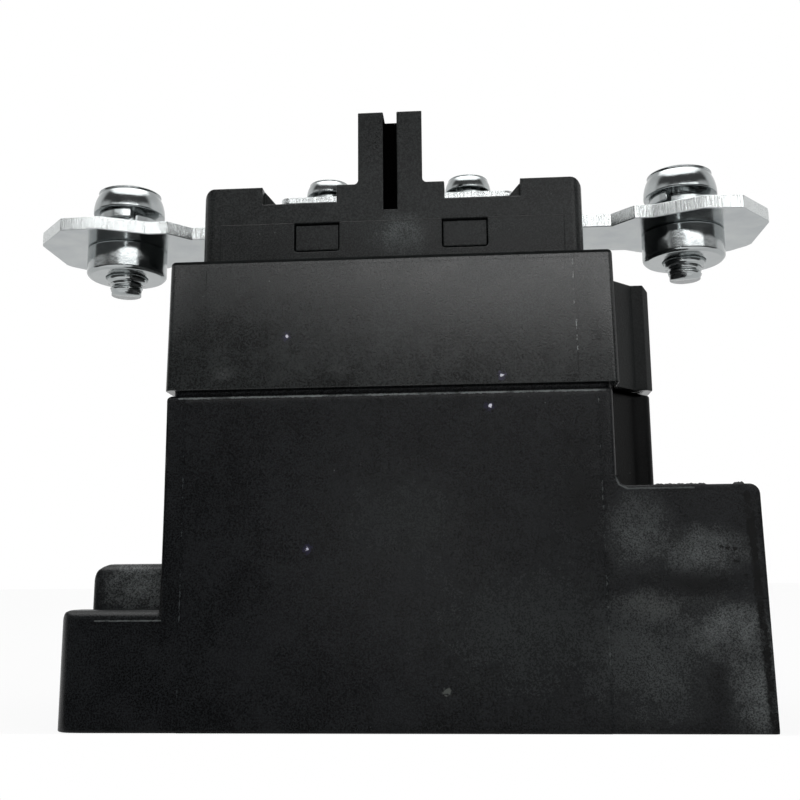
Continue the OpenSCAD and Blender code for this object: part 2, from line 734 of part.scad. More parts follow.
module terminal_carrier() {
    front = -carrier_half_d;
    pedestal_front = -coil_plate_half_d;
    color(black)
        difference() {
            union() {
                intersection() {
                    translate([0, carrier_half_d, 0])
                        rotate([90, 0, 0])
                            linear_extrude(2 * carrier_half_d)
                                shoulder_outline();
                    translate([0, 0, cover_top - 1])
                        linear_extrude(carrier_top)
                            corner_rect(-carrier_half_w, carrier_half_w,
                                -carrier_half_d, carrier_half_d, carrier_corner_r);
                }
                // raised bands on the front and the rear
                span_box([-band_half_w, band_half_w],
                    [-carrier_half_d - panel_proud, carrier_half_d + panel_proud],
                    [cover_top, band_top]);
                // pedestals of the coil terminals
                for (side = [-1, 1])
                    span_box([min(side * notch_in, side * coil_plate_out),
                            max(side * notch_in, side * coil_plate_out)],
                        [pedestal_front, leg_y - 1], [notch_floor - 1, coil_plate_z]);
                // barrier column with its fillets
                translate([0, front, carrier_top - 1])
                    linear_extrude(column_h + 1)
                        polygon([[-column_w / 2, 0], [column_w / 2, 0],
                            [column_w / 2 - column_taper, column_d],
                            [column_taper - column_w / 2, column_d]]);
                for (side = [-1, 1])
                    difference() {
                        span_box([min(side * (column_w / 2 - 1), side * (column_w / 2 + column_fillet_r)),
                                max(side * (column_w / 2 - 1), side * (column_w / 2 + column_fillet_r))],
                            [front, front + column_d - eps],
                            [carrier_top - eps, carrier_top + column_fillet_r]);
                        translate([side * (column_w / 2 + column_fillet_r), front - 1,
                                carrier_top + column_fillet_r])
                            rotate([-90, 0, 0]) cylinder(r = column_fillet_r, h = column_d + 2);
                    }
            }
            // slot of the column
            span_box([-slot_w / 2, slot_w / 2], [front - 1, front + slot_d], [slot_foot, column_top + 1]);
            for (side = [-1, 1]) {
                // notch through the front wall
                span_box([min(side * notch_in, side * notch_out), max(side * notch_in, side * notch_out)],
                    [front - 1, front + carrier_wall], [notch_floor, carrier_top + 2]);
                // sloped notch behind the wall, as far as the pedestal
                mirror([side > 0 ? 0 : 1, 0, 0])
                    translate([0, pedestal_front, 0])
                        rotate([90, 0, 0])
                            linear_extrude(pedestal_front - front)
                                notch_outline();
                // channel of the main busbar
                span_box([min(side * (bar_inner - snug), side * (carrier_half_w + 1)),
                        max(side * (bar_inner - snug), side * (carrier_half_w + 1))],
                    [-neck_front - bar_gap, neck_rear + bar_gap], [bar_z, bar_z + bar_t + bar_gap]);
                rod(post_d + 2 * post_gap, bar_z - cover_top + 2, [side * post_x, 0, cover_top - 1]);
                // pocket and screw hole of the coil nut
                span_box([side * coil_x - coil_nut_w / 2 - 0.1, side * coil_x + coil_nut_w / 2 + 0.1],
                    [-coil_nut_w / 2 - 0.1, coil_nut_w / 2 + 0.1], [coil_nut_z, coil_plate_z + 1]);
                rod(coil_d + 0.8, 8, [side * coil_x, 0, coil_tip_z - 1]);
                // way for the coil terminal's leg
                span_box([side * leg_x - leg_w / 2 - snug, side * leg_x + leg_w / 2 + snug],
                    [leg_y - 1 - eps, leg_y + coil_plate_t + snug], [cover_top - 2, coil_plate_z + 1]);
            }
            // windows and the hollows behind them for the snap hooks
            for (side = [-1, 1], face = [-1, 1]) {
                wall = carrier_half_d - carrier_wall;
                x0 = side > 0 ? window_in : -window_in - window_w;
                window_cut(x0, x0 + window_w, window_foot, window_top,
                    face > 0 ? wall - 1 : -carrier_half_d - 1, face > 0 ? carrier_half_d + 1 : -wall + 1, 0.6);
                span_box([x0, x0 + window_w],
                    [face > 0 ? wall - hook_depth - 0.6 : -wall, face > 0 ? wall : -wall + hook_depth + 0.6],
                    [cover_top - 1, window_top]);
            }
        }
}

function main_x(side) = side > 0 ? main_right_x : main_left_x;

// Plan of one busbar, from its inner end out to the spade's tip
module bar_outline(s) {
    d = spade_half_d;
    t = bar_end - s;
    polygon([[bar_inner, -neck_front], [s - 0.95 * t, -neck_front],
        [s - 0.71 * t, -0.715 * d], [s - 0.48 * t, -0.715 * d], [s + 0.07 * t, -d],
        [s + 0.55 * t, -0.965 * d], [s + 0.97 * t, -0.44 * d], [s + t, -0.36 * d],
        [s + t, 0.5 * d], [s + 0.96 * t, 0.6 * d], [s + 0.79 * t, 0.8 * d], [s + 0.55 * t, 0.95 * d],
        [s + 0.07 * t, d], [s - 0.48 * t, 0.715 * d], [s - 0.65 * t, neck_rear],
        [bar_inner, neck_rear]]);
}

module main_bar(side) {
    color(plate)
        mirror([side > 0 ? 0 : 1, 0, 0])
            difference() {
                translate([0, 0, bar_z]) linear_extrude(bar_t) bar_outline(main_x(side));
                rod(main_d + 0.4, bar_t + 2, [main_x(side), 0, bar_z - 1]);
                rod(rivet_d, bar_t + 2, [post_x, 0, bar_z - 1]);
            }
}

// Round nut with a bevelled foot and a countersunk thread
module main_nut(side) {
    c = 0.1 * nut_h;
    r = nut_d / 2;
    sink = 0.13 * main_d;
    color(plate)
        translate([side * main_x(side), 0, nut_z])
            rotate_extrude()
                polygon([[main_d / 2, sink], [main_d / 2 + sink, 0], [r - c, 0], [r, c],
                    [r, nut_h - 0.2], [r - 0.2, nut_h], [main_d / 2, nut_h]]);
}

// Pan-head screw with a cross recess, its head's seat at height zero
module pan_screw(d, head_d, head_h, length) {
    r = head_d / 2;
    corner = 0.48 * head_h;
    dome = 1.9 * r;
    difference() {
        union() {
            rotate_extrude()
                intersection() {
                    union() {
                        square([r - corner, head_h]);
                        square([r, head_h - corner]);
                        translate([r - corner, head_h - corner]) circle(corner);
                    }
                    translate([0, head_h - dome]) circle(dome, $fn = 160);
                }
            translate([0, 0, 0.12 * d - length]) cylinder(d = d, h = length);
            translate([0, 0, -length]) cylinder(d1 = 0.88 * d, d2 = d, h = 0.12 * d);
        }
        for (a = [0, 90])
            rotate([0, 0, a])
                translate([-0.58 * d, -0.11 * d, head_h * 0.42]) cube([1.16 * d, 0.22 * d, head_h]);
    }
}

module main_screw(side) {
    color(plate)
        translate([side * main_x(side), 0, head_z])
            pan_screw(main_d, main_head_d, main_head_h, head_z - nut_z + main_tip);
}

// Split washer, its two ends apart by what is left of its height
module spring_washer(outer, inner, t, h, turn) {
    steps = 36;
    sweep = 352;
    rise = h - t;
    ring = [for (i = [0 : steps]) let (a = turn + sweep * i / steps, z = rise * i / steps)
        each [[inner / 2 * cos(a), inner / 2 * sin(a), z], [outer / 2 * cos(a), outer / 2 * sin(a), z],
            [outer / 2 * cos(a), outer / 2 * sin(a), z + t], [inner / 2 * cos(a), inner / 2 * sin(a), z + t]]];
    sides = [for (i = [0 : steps - 1], k = [0 : 3]) let (a = 4 * i + k, b = 4 * i + (k + 1) % 4)
        each [[a, a + 4, b], [b, a + 4, b + 4]]];
    polyhedron(ring, concat(sides, [[0, 1, 2], [0, 2, 3]],
        [[4 * steps, 4 * steps + 2, 4 * steps + 1], [4 * steps, 4 * steps + 3, 4 * steps + 2]]));
}

module main_spring_washer(side) {
    color(plate)
        translate([side * main_x(side), 0, bar_z + bar_t + flat_washer_t])
            spring_washer(spring_washer_d, main_d + 0.3, spring_washer_t, spring_washer_h,
                side > 0 ? -119 : -60);
}

module main_flat_washer(side) {
    color(plate)
        tube(flat_washer_d, main_d + 0.3, flat_washer_t, [side * main_x(side), 0, bar_z + bar_t]);
}

// Coil terminal: screw plate with a soldering leg bent down behind it
module coil_terminal(side) {
    r = 1.6;
    color(plate)
        mirror([side > 0 ? 0 : 1, 0, 0])
            difference() {
                union() {
                    translate([0, 0, coil_plate_z])
                        linear_extrude(coil_plate_t)
                            union() {
                                translate([coil_plate_in, -coil_plate_half_d])
                                    square([coil_plate_out - r - coil_plate_in, 2 * coil_plate_half_d]);
                                translate([coil_plate_in, r - coil_plate_half_d])
                                    square([coil_plate_out - coil_plate_in, 2 * (coil_plate_half_d - r)]);
                                for (y = [-1, 1])
                                    translate([coil_plate_out - r, y * (coil_plate_half_d - r)]) circle(r);
                                translate([leg_x - leg_w / 2, 0])
                                    square([leg_w, leg_y + coil_plate_t]);
                            }
                    span_box([leg_x - leg_w / 2, leg_x + leg_w / 2], [leg_y, leg_y + coil_plate_t],
                        [leg_foot, coil_plate_z + eps]);
                }
                rod(coil_d + 0.3, coil_plate_t + 2, [coil_x, 0, coil_plate_z - 1]);
            }
}

module coil_screw(side) {
    color(plate)
        translate([side * coil_x, 0, coil_head_z])
            pan_screw(coil_d, coil_head_d, coil_head_h, coil_head_z - coil_tip_z);
}

module coil_spring_washer(side) {
    color(plate)
        translate([side * coil_x, 0, coil_seat_z])
            spring_washer(coil_head_d - 0.7, coil_d + 0.2, coil_washer_t, coil_washer_h, side > 0 ? 200 : 160);
}

module coil_nut(side) {
    color(steel)
        difference() {
            span_box([side * coil_x - coil_nut_w / 2, side * coil_x + coil_nut_w / 2],
                [-coil_nut_w / 2, coil_nut_w / 2], [coil_nut_z, coil_plate_z]);
            rod(coil_d, coil_nut_h + 2, [side * coil_x, 0, coil_nut_z - 1]);
        }
}

// Contact post with its rivet end in the busbar
module contact_post(side) {
    color(copper)
        translate([side * post_x, 0, 0])
            union() {
                rod(post_d, bar_z - fixed_face_z - tip_t, [0, 0, fixed_face_z + tip_t]);
                rod(rivet_d, bar_t + eps, [0, 0, bar_z - eps]);
            }
}

module fixed_tip(side) {
    color("silver") rod(tip_d, tip_t, [side * post_x, 0, fixed_face_z]);
}

module moving_tip(side) {
    color("silver") rod(tip_d, tip_t, [side * post_x, 0, bridge_top]);
}

module contact_bridge() {
    half = post_x + tip_d / 2 + 1;
    color(copper)
        difference() {
            translate([0, 0, bridge_z])
                linear_extrude(bridge_t)
                    union() {
                        translate([-half + bridge_w / 2, -bridge_w / 2])
                            square([2 * half - bridge_w, bridge_w]);
                        for (side = [-1, 1])
                            translate([side * (half - bridge_w / 2), 0]) circle(bridge_w / 2);
                    }
            rod(shaft_d + 2 * run_gap, bridge_t + 2, [0, 0, bridge_z - 1]);
        }
}

// Coil spring: a round wire swept along a helix with flat-lying end turns
module coil_spring(mean_d, wire, z0, z1, turns) {
    steps = 20 * turns;
    r = mean_d / 2;
    low = z0 + wire / 2;
    run = z1 - z0 - wire;
    path = [for (i = [0 : steps]) let (a = 360 * turns * i / steps)
        [r * cos(a), r * sin(a), low + run * i / steps, a]];
    ring = [for (p = path, k = [0 : spring_fn - 1]) let (b = 360 * k / spring_fn, w = wire / 2)
        [p[0] + w * cos(b) * cos(p[3]), p[1] + w * cos(b) * sin(p[3]), p[2] + w * sin(b)]];
    sides = [for (i = [0 : steps - 1], k = [0 : spring_fn - 1])
        let (a = spring_fn * i + k, b = spring_fn * i + (k + 1) % spring_fn)
        each [[a, b, a + spring_fn], [b, b + spring_fn, a + spring_fn]]];
    last = spring_fn * steps;
    polyhedron(ring, concat(sides, [[for (k = [spring_fn - 1 : -1 : 0]) k]],
        [[for (k = [0 : spring_fn - 1]) last + k]]));
}

module contact_spring() {
    color(steel)
        coil_spring(contact_mean_d, contact_wire, seat_z + seat_t, bridge_z, contact_turns);
}

// Lower seat of the contact spring, pressed on the shaft
module spring_seat() {
    color("ivory") tube(seat_d, shaft_d, seat_t, [0, 0, seat_z]);
}

// Clip that holds the bridge down on the shaft
module bridge_clip() {
    color(steel)
        difference() {
            tube(clip_d, groove_d, clip_t, [0, 0, bridge_top]);
            span_box([-groove_d * 0.4, groove_d * 0.4], [-clip_d, 0],
                [bridge_top - 1, bridge_top + clip_t + 1]);
        }
}

module plunger_shaft() {
    color(steel)
        difference() {
            rod(shaft_d, shaft_top - shaft_foot, [0, 0, shaft_foot]);
            tube(shaft_d + 2, groove_d, clip_t, [0, 0, bridge_top]);
        }
}

module plunger() {
    color(steel)
        difference() {
            rod(plunger_d, plunger_top - plunger_z, [0, 0, plunger_z]);
            rod(seat_bore, plunger_seat + 1, [0, 0, plunger_top - plunger_seat]);
            rod(shaft_d, plunger_top, [0, 0, shaft_foot]);
        }
}

module fixed_core() {
    color(steel)
        difference() {
            union() {
                rod(core_d, yoke_plate_z - core_face_z, [0, 0, core_face_z]);
                rod(core_rivet_d, yoke_t + eps, [0, 0, yoke_plate_z - eps]);
            }
            rod(shaft_d + 2 * run_gap, yoke_plate_top, [0, 0, core_face_z - 1]);
            rod(seat_bore, core_seat + 1, [0, 0, core_face_z - 1]);
        }
}

module return_spring() {
    color(steel)
        coil_spring(return_mean_d, return_wire, plunger_top - plunger_seat,
            core_face_z + core_seat, return_turns);
}

module guide_sleeve() {
    color("#b59a5a")
        tube(sleeve_d, sleeve_bore, yoke_plate_z - yoke_floor_z - 0.4, [0, 0, yoke_floor_z + 0.2]);
}

module cushion() {
    color("#2b2b2b") rod(sleeve_bore - 0.6, cushion_t, [0, 0, cushion_z]);
}

module bobbin() {
    h = bobbin_top - bobbin_z;
    r = flange_d / 2;
    bore = sleeve_d / 2 + 0.05;
    color("#d8d4c4")
        union() {
            rotate_extrude()
                polygon([[bore, bobbin_z], [r, bobbin_z], [r, bobbin_z + flange_t],
                    [bobbin_tube_d / 2, bobbin_z + flange_t], [bobbin_tube_d / 2, bobbin_top - flange_t],
                    [r, bobbin_top - flange_t], [r, bobbin_top], [bore, bobbin_top]]);
            // blocks that anchor the two leads
            for (side = [-1, 1])
                span_box([side * anchor_x - anchor_w / 2, side * anchor_x + anchor_w / 2],
                    [r - 3, lead_y + lead_d / 2],
                    [bobbin_top - flange_t - 1.5 * lead_d, bobbin_top - flange_t + eps]);
        }
}

module coil_winding() {
    color("#8a3f1e")
        tube(winding_d, bobbin_tube_d, bobbin_top - bobbin_z - 2 * flange_t - 0.1,
            [0, 0, bobbin_z + flange_t + 0.05]);
}

// Straight stretch of wire between two points
module wire_run(a, b, d) {
    v = b - a;
    n = norm(v);
    translate(a)
        rotate([0, acos(v[2] / n), atan2(v[1], v[0])])
            cylinder(d = d, h = n, $fn = 24);
}

// Insulated lead from the bobbin up to the coil terminal's leg
module coil_lead(side) {
    top = leg_foot + 1.25 * lead_d;
    start = anchor_x + anchor_w / 2 + lead_d / 2 + 0.1;
    level = bobbin_top - flange_t - 0.75 * lead_d;
    points = [[side * start, lead_y, level], [side * lead_x, lead_y, level],
        [side * lead_x, lead_y, top],
        [side * (leg_x + leg_w / 2 + 0.75 * lead_d), leg_y + 1.9 * lead_d, top],
        [side * leg_x, leg_y + coil_plate_t + lead_d / 2, top]];
    color(side > 0 ? "#a01f1f" : "#20242c")
        union() {
            for (i = [0 : len(points) - 2]) wire_run(points[i], points[i + 1], lead_d);
            for (p = points) translate(p) sphere(d = lead_d + 0.1, $fn = 24);
        }
}

// U-shaped yoke round the coil
module yoke_frame() {
    w = yoke_half_w + yoke_t;
    color(steel)
        difference() {
            span_box([-w, w], [-yoke_half_d, yoke_half_d], [cavity_z, yoke_plate_z]);
            span_box([-yoke_half_w, yoke_half_w], [-yoke_half_d - 1, yoke_half_d + 1],
                [yoke_floor_z, yoke_plate_z + 1]);
        }
}

module yoke_plate() {
    half_w = base_half_w - base_wall - 0.4;
    half_d = base_half_d - base_wall - 0.4;
    color(steel)
        difference() {
            span_box([-half_w, half_w], [-half_d, half_d], [yoke_plate_z, yoke_plate_top]);
            rod(core_rivet_d, yoke_t + 2, [0, 0, yoke_plate_z - 1]);
            for (x = [-1, 1], y = [-1, 1])
                rod(yoke_screw_d + 0.4, yoke_t + 2, [x * post_screw_x, y * post_screw_y, yoke_plate_z - 1]);
            // notches for the leads
            for (side = [-1, 1])
                span_box([side * lead_x - lead_d / 2 - 0.6, side * lead_x + lead_d / 2 + 0.6],
                    [lead_y - lead_d / 2 - 0.6, half_d + 1], [yoke_plate_z - 1, yoke_plate_top + 1]);
        }
}

module yoke_screws() {
    color(plate)
        for (x = [-1, 1], y = [-1, 1])
            translate([x * post_screw_x, y * post_screw_y, yoke_plate_top])
                pan_screw(yoke_screw_d, yoke_head_d, yoke_head_h, yoke_t + yoke_screw_reach);
}

module chamber_floor() {
    color("#3a3126")
        difference() {
            span_box([-chamber_floor_half_w, chamber_floor_half_w],
                [-chamber_floor_half_d, chamber_floor_half_d],
                [chamber_floor_z, chamber_floor_z + chamber_floor_t]);
            rod(seat_d + 1, chamber_floor_t + 2, [0, 0, chamber_floor_z - 1]);
            for (x = [-1, 1], y = [-1, 1])
                rod(yoke_head_d + 1, chamber_floor_t + 2,
                    [x * post_screw_x, y * post_screw_y, chamber_floor_z - 1]);
            for (side = [-1, 1])
                span_box([side * lead_x - lead_d / 2 - 0.6, side * lead_x + lead_d / 2 + 0.6],
                    [lead_y - lead_d / 2 - 0.6, chamber_floor_half_d + 1],
                    [chamber_floor_z - 1, chamber_floor_z + chamber_floor_t + 1]);
        }
}

module arc_magnet(face) {
    color("#3c3d3f")
        span_box([-magnet_w / 2, magnet_w / 2],
            [min(face * magnet_y, face * (magnet_y + magnet_t)),
                max(face * magnet_y, face * (magnet_y + magnet_t))],
            [cover_inner_z - magnet_h, cover_inner_z]);
}

module mount_sleeve(x) {
    color(steel)
        tube(mount_bore_d + 2 * sleeve_wall, mount_bore_d, foot_h + 0.8, [x, foot_hole_y, 0]);
}

base_case();
contact_cover();
terminal_carrier();
main_bar(-1);  // main_bar_left
main_bar(1);  // main_bar_right
main_nut(-1);  // main_nut_left
main_nut(1);  // main_nut_right
main_screw(-1);  // main_screw_left
main_screw(1);  // main_screw_right
main_spring_washer(-1);  // main_spring_washer_left
main_spring_washer(1);  // main_spring_washer_right
main_flat_washer(-1);  // main_flat_washer_left
main_flat_washer(1);  // main_flat_washer_right
coil_terminal(-1);  // coil_terminal_left
coil_terminal(1);  // coil_terminal_right
coil_screw(-1);  // coil_screw_left
coil_screw(1);  // coil_screw_right
coil_spring_washer(-1);  // coil_spring_washer_left
coil_spring_washer(1);  // coil_spring_washer_right
coil_nut(-1);  // coil_nut_left
coil_nut(1);  // coil_nut_right
contact_post(-1);  // contact_post_left
contact_post(1);  // contact_post_right
fixed_tip(-1);  // fixed_tip_left
fixed_tip(1);  // fixed_tip_right
contact_bridge();
moving_tip(-1);  // moving_tip_left
moving_tip(1);  // moving_tip_right
contact_spring();
spring_seat();
bridge_clip();
plunger_shaft();
plunger();
fixed_core();
return_spring();
guide_sleeve();
cushion();
bobbin();
coil_winding();
coil_lead(-1);  // coil_lead_left
coil_lead(1);  // coil_lead_right
yoke_frame();
yoke_plate();
yoke_screws();
chamber_floor();
arc_magnet(-1);  // arc_magnet_front
arc_magnet(1);  // arc_magnet_rear
mount_sleeve(left_hole_x);  // mount_sleeve_left
mount_sleeve(right_hole_x);  // mount_sleeve_right
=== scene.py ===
import json
import math

import bmesh
import bpy
from mathutils import Matrix, Vector


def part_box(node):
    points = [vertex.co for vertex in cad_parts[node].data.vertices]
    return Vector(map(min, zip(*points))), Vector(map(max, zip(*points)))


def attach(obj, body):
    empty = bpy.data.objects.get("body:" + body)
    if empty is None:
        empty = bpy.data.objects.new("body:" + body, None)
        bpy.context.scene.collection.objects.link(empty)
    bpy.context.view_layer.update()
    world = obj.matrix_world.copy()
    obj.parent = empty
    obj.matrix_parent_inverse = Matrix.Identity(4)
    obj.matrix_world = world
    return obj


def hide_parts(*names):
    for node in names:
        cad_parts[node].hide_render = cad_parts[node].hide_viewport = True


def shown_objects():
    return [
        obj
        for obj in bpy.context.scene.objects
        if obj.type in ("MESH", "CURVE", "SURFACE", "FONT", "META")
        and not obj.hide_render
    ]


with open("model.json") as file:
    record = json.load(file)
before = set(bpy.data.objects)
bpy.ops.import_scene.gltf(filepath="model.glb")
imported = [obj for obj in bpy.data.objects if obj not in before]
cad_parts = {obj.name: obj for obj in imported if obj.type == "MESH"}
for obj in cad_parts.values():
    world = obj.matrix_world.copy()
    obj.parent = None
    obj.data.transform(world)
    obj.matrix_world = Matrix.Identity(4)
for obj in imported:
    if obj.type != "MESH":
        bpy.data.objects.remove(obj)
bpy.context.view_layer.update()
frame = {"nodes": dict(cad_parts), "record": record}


# Base case

# The lower housing with its ear, lug, right block and feet. One injection
# moulding in black glass-filled PBT, from a spark-eroded mould, so the broad
# faces carry a fine matt grain while the outer edges are slightly rounded.

MM = 0.001


def srgb(hex_colour):
    """Linear colour of an sRGB hex value."""
    shares = [int(hex_colour[i : i + 2], 16) / 255 for i in (1, 3, 5)]
    return (*(c / 12.92 if c <= 0.04045 else ((c + 0.055) / 1.055) ** 2.4 for c in shares), 1)


def add(tree, kind, sockets=None, **settings):
    """Adds one node with its settings; a socket takes a number, or another node's output."""
    made = tree.nodes.new(kind)
    for key, value in settings.items():
        setattr(made, key, value)
    for key, value in (sockets or {}).items():
        if isinstance(value, bpy.types.NodeSocket):
            tree.links.new(value, made.inputs[key])
        else:
            made.inputs[key].default_value = value
    return made


def number(tree, kind, *values, clamp=False):
    """The result of one sum on numbers."""
    made = add(tree, "ShaderNodeMath", dict(enumerate(values)), operation=kind, use_clamp=clamp)
    return made.outputs[0]


def vector(tree, kind, *values):
    """One sum on vectors, as a node, because a length is its second output."""
    return add(tree, "ShaderNodeVectorMath", dict(enumerate(values)), operation=kind)


def spread(tree, value, low, high, to_low=0.0, to_high=1.0, smooth=True):
    """Maps a value's range from low to high on to another one, with soft or sharp ends."""
    kind = "SMOOTHSTEP" if smooth else "LINEAR"
    sockets = {"Value": value, "From Min": low, "From Max": high, "To Min": to_low, "To Max": to_high}
    return add(tree, "ShaderNodeMapRange", sockets, interpolation_type=kind).outputs["Result"]


def varied(tree, cloud, to_low=0.0, to_high=1.0, smooth=False):
    """Spreads a noise, most of which lies between 0.3 and 0.7, over a whole range."""
    return spread(tree, cloud, 0.3, 0.7, to_low, to_high, smooth)


def noise(tree, place, size_mm, detail, rough=0.5):
    """Cloudy noise whose clouds have a given size on the piece."""
    sockets = {"Vector": place, "Scale": 1 / (size_mm * MM), "Detail": detail, "Roughness": rough}
    return add(tree, "ShaderNodeTexNoise", sockets).outputs["Fac"]


def tinted(tree, surface, amount, tint):
    """A surface colour with an amount of a tint over it."""
    sockets = {"Factor": amount, "A": surface, "B": srgb(tint)}
    return add(tree, "ShaderNodeMix", sockets, data_type="RGBA").outputs["Result"]


def new_material(name):
    """An empty node material and its tree, with the output and the object's own coordinates."""
    made = bpy.data.materials.new(name)
    made.use_nodes = True
    tree = made.node_tree
    tree.nodes.clear()
    place = add(tree, "ShaderNodeTexCoord").outputs["Object"]
    output = add(tree, "ShaderNodeOutputMaterial")
    return made, tree, place, output


def coat(tree, output, sockets):
    """Ends a material in one Principled surface."""
    skin = add(tree, "ShaderNodeBsdfPrincipled", sockets)
    tree.links.new(skin.outputs[0], output.inputs["Surface"])


def dusty(tree, place, surface):
    """Dust: sparse pale points, a tenth of a millimetre across, in one cell of 2.6 mm out of six."""
    cells = add(tree, "ShaderNodeTexVoronoi", {"Vector": place, "Scale": 1 / (2.6 * MM)})
    chosen = add(tree, "ShaderNodeSeparateColor", {"Color": cells.outputs["Color"]}).outputs[0]
    rare = number(tree, "GREATER_THAN", chosen, 0.82)
    dust = number(tree, "MULTIPLY", spread(tree, cells.outputs["Distance"], 0.055, 0.02), rare)
    return tinted(tree, surface, number(tree, "MULTIPLY", dust, 0.35), "#8b9090")


def smudged_and_painted(tree, place, surface, smudges, cloud, grain):
    """Smudges and painted light: cloudy marks that fade out, let the grain show through and dull the
    surface; some of them paint highlights or shade.
    """
    patchy_cloud = spread(tree, cloud, 0.3, 0.62, 0.5, 1.0)
    patchy = number(tree, "MULTIPLY", patchy_cloud, spread(tree, grain, 0.38, 0.62, 0.25, 1.0))
    dulled = 0.0
    for middle, radii, tint, strength in smudges:
        nearer = vector(tree, "SUBTRACT", place, [c * MM for c in middle]).outputs[0]
        scaled = vector(tree, "MULTIPLY", nearer, [1 / (r * MM) for r in radii]).outputs[0]
        away = vector(tree, "LENGTH", scaled).outputs["Value"]
        ragged_away = number(tree, "MULTIPLY_ADD", cloud, -0.7, number(tree, "ADD", away, 0.35))
        fading = spread(tree, ragged_away, 1.0, 0.05)
        patch = number(tree, "MULTIPLY", number(tree, "MULTIPLY", fading, patchy), strength)
        surface = tinted(tree, surface, patch, tint)
        dulled = number(tree, "ADD", patch, dulled)
    return surface, dulled


def seamed(tree, place, surface, seams, cloud, ragged):
    """Seams: the mould's upright parting lines, with crumbs of another tone along them."""
    apart = add(tree, "ShaderNodeSeparateXYZ", {"Vector": place}).outputs
    wander = number(tree, "MULTIPLY_ADD", ragged, 0.5 * MM, -0.18 * MM)
    for x, z_low, z_high, tint, crumbs in seams:
        beside = number(tree, "ABSOLUTE", number(tree, "SUBTRACT", apart["X"], x * MM))
        line = number(tree, "LESS_THAN", beside, wander)
        above = number(tree, "GREATER_THAN", apart["Z"], z_low * MM)
        below = number(tree, "LESS_THAN", apart["Z"], z_high * MM)
        within = number(tree, "MULTIPLY", number(tree, "MULTIPLY", line, above), below)
        kept = spread(tree, cloud, 0.62 - crumbs, 0.68 - crumbs)
        surface = tinted(tree, surface, number(tree, "MULTIPLY", within, kept), tint)
    return surface


def painted_edges_and_scratches(tree, place, surface, strokes, cloud, ragged):
    """Painted edge highlights and shade, dark lines and scratches: thin broken lines from point to point.
    """
    for start, end, width, tint, strength in strokes:
        span = (Vector(end) - Vector(start)) * MM
        offset = vector(tree, "SUBTRACT", place, [c * MM for c in start]).outputs[0]
        along = vector(tree, "DOT_PRODUCT", offset, span / span.length_squared).outputs["Value"]
        share = number(tree, "ADD", along, 0.0, clamp=True)
        foot = add(tree, "ShaderNodeVectorMath", {0: span, "Scale": share}, operation="SCALE").outputs[0]
        away = vector(tree, "DISTANCE", offset, foot).outputs["Value"]
        reach = varied(tree, ragged, 0.35 * width * MM, 0.65 * width * MM, smooth=True)
        line = spread(tree, number(tree, "DIVIDE", away, reach), 1.3, 0.6)
        kept = spread(tree, cloud, 0.38, 0.52, 0.3 * strength, strength)
        surface = tinted(tree, surface, number(tree, "MULTIPLY", line, kept), tint)
    return surface


def speckled(tree, place, surface, specks, ragged):
    """Single spots, each a ragged dot at its own place."""
    for middle, radius, tint in specks:
        away = vector(tree, "DISTANCE", place, [c * MM for c in middle]).outputs["Value"]
        reach = varied(tree, ragged, 0.35 * radius * MM, 1.3 * radius * MM, smooth=True)
        dot = spread(tree, number(tree, "DIVIDE", away, reach), 1.15, 0.75)
        surface = tinted(tree, surface, dot, tint)
    return surface


def moulded_plastic(name, dark, light, grain_mm, sheen, gloss, edge_mm=0.3, pit_mm=0.08, **marks):
    """Injection-moulded black PBT: spark-eroded grain over flow patches, with the marks and the painted
    highlights and shade given to it.
    """
    made, tree, place, output = new_material(name)
    flow = noise(tree, place, size_mm=7, detail=5.0, rough=0.65)
    grain = noise(tree, place, size_mm=grain_mm, detail=2.0, rough=0.8)
    ragged = noise(tree, place, size_mm=0.5, detail=2.0, rough=0.6)
    cloud = noise(tree, place, size_mm=3.2, detail=6.0, rough=0.78)

    pits = spread(tree, grain, 0.4, 0.64, 0, 0.8)
    amount = number(tree, "MULTIPLY_ADD", spread(tree, flow, 0.3, 0.72), 0.4, pits, clamp=True)
    surface = dusty(tree, place, tinted(tree, srgb(dark), amount, light))
    surface, dulled = smudged_and_painted(tree, place, surface, marks.get("smudges", ()), cloud, grain)
    surface = seamed(tree, place, surface, marks.get("seams", ()), cloud, ragged)
    surface = painted_edges_and_scratches(tree, place, surface, marks.get("strokes", ()), cloud, ragged)
    surface = speckled(tree, place, surface, marks.get("specks", ()), ragged)

    patches = varied(tree, flow, gloss - 0.03, gloss + 0.04, smooth=True)
    rough = number(tree, "MULTIPLY_ADD", dulled, 0.25, patches, clamp=True)
    rounded = add(tree, "ShaderNodeBevel", {"Radius": edge_mm * MM}, samples=6).outputs[0]
    sockets = {"Height": grain, "Strength": 0.5, "Distance": pit_mm * MM, "Normal": rounded}
    relief = add(tree, "ShaderNodeBump", sockets).outputs["Normal"]
    sockets = {"Base Color": surface, "Roughness": rough, "Specular IOR Level": sheen, "Normal": relief}
    coat(tree, output, sockets)
    return made


def merged_copy(name):
    """A copy of a CAD node as one closed mesh with flat faces made whole."""
    mesh = frame["nodes"][name].data.copy()
    work = bmesh.new()
    work.from_mesh(mesh)
    bmesh.ops.remove_doubles(work, verts=work.verts, dist=0.002 * MM)
    bmesh.ops.dissolve_limit(work, angle_limit=math.radians(0.5), verts=work.verts, edges=work.edges)
    work.to_mesh(mesh)
    work.free()
    made = bpy.data.objects.new(name + "_finished", mesh)
    bpy.context.scene.collection.objects.link(made)
    return made


def made_plain(piece):
    """Turns a piece's modifiers into its mesh."""
    final = piece.evaluated_get(bpy.context.evaluated_depsgraph_get())
    mesh = bpy.data.meshes.new_from_object(final)
    piece.modifiers.clear()
    piece.data = mesh


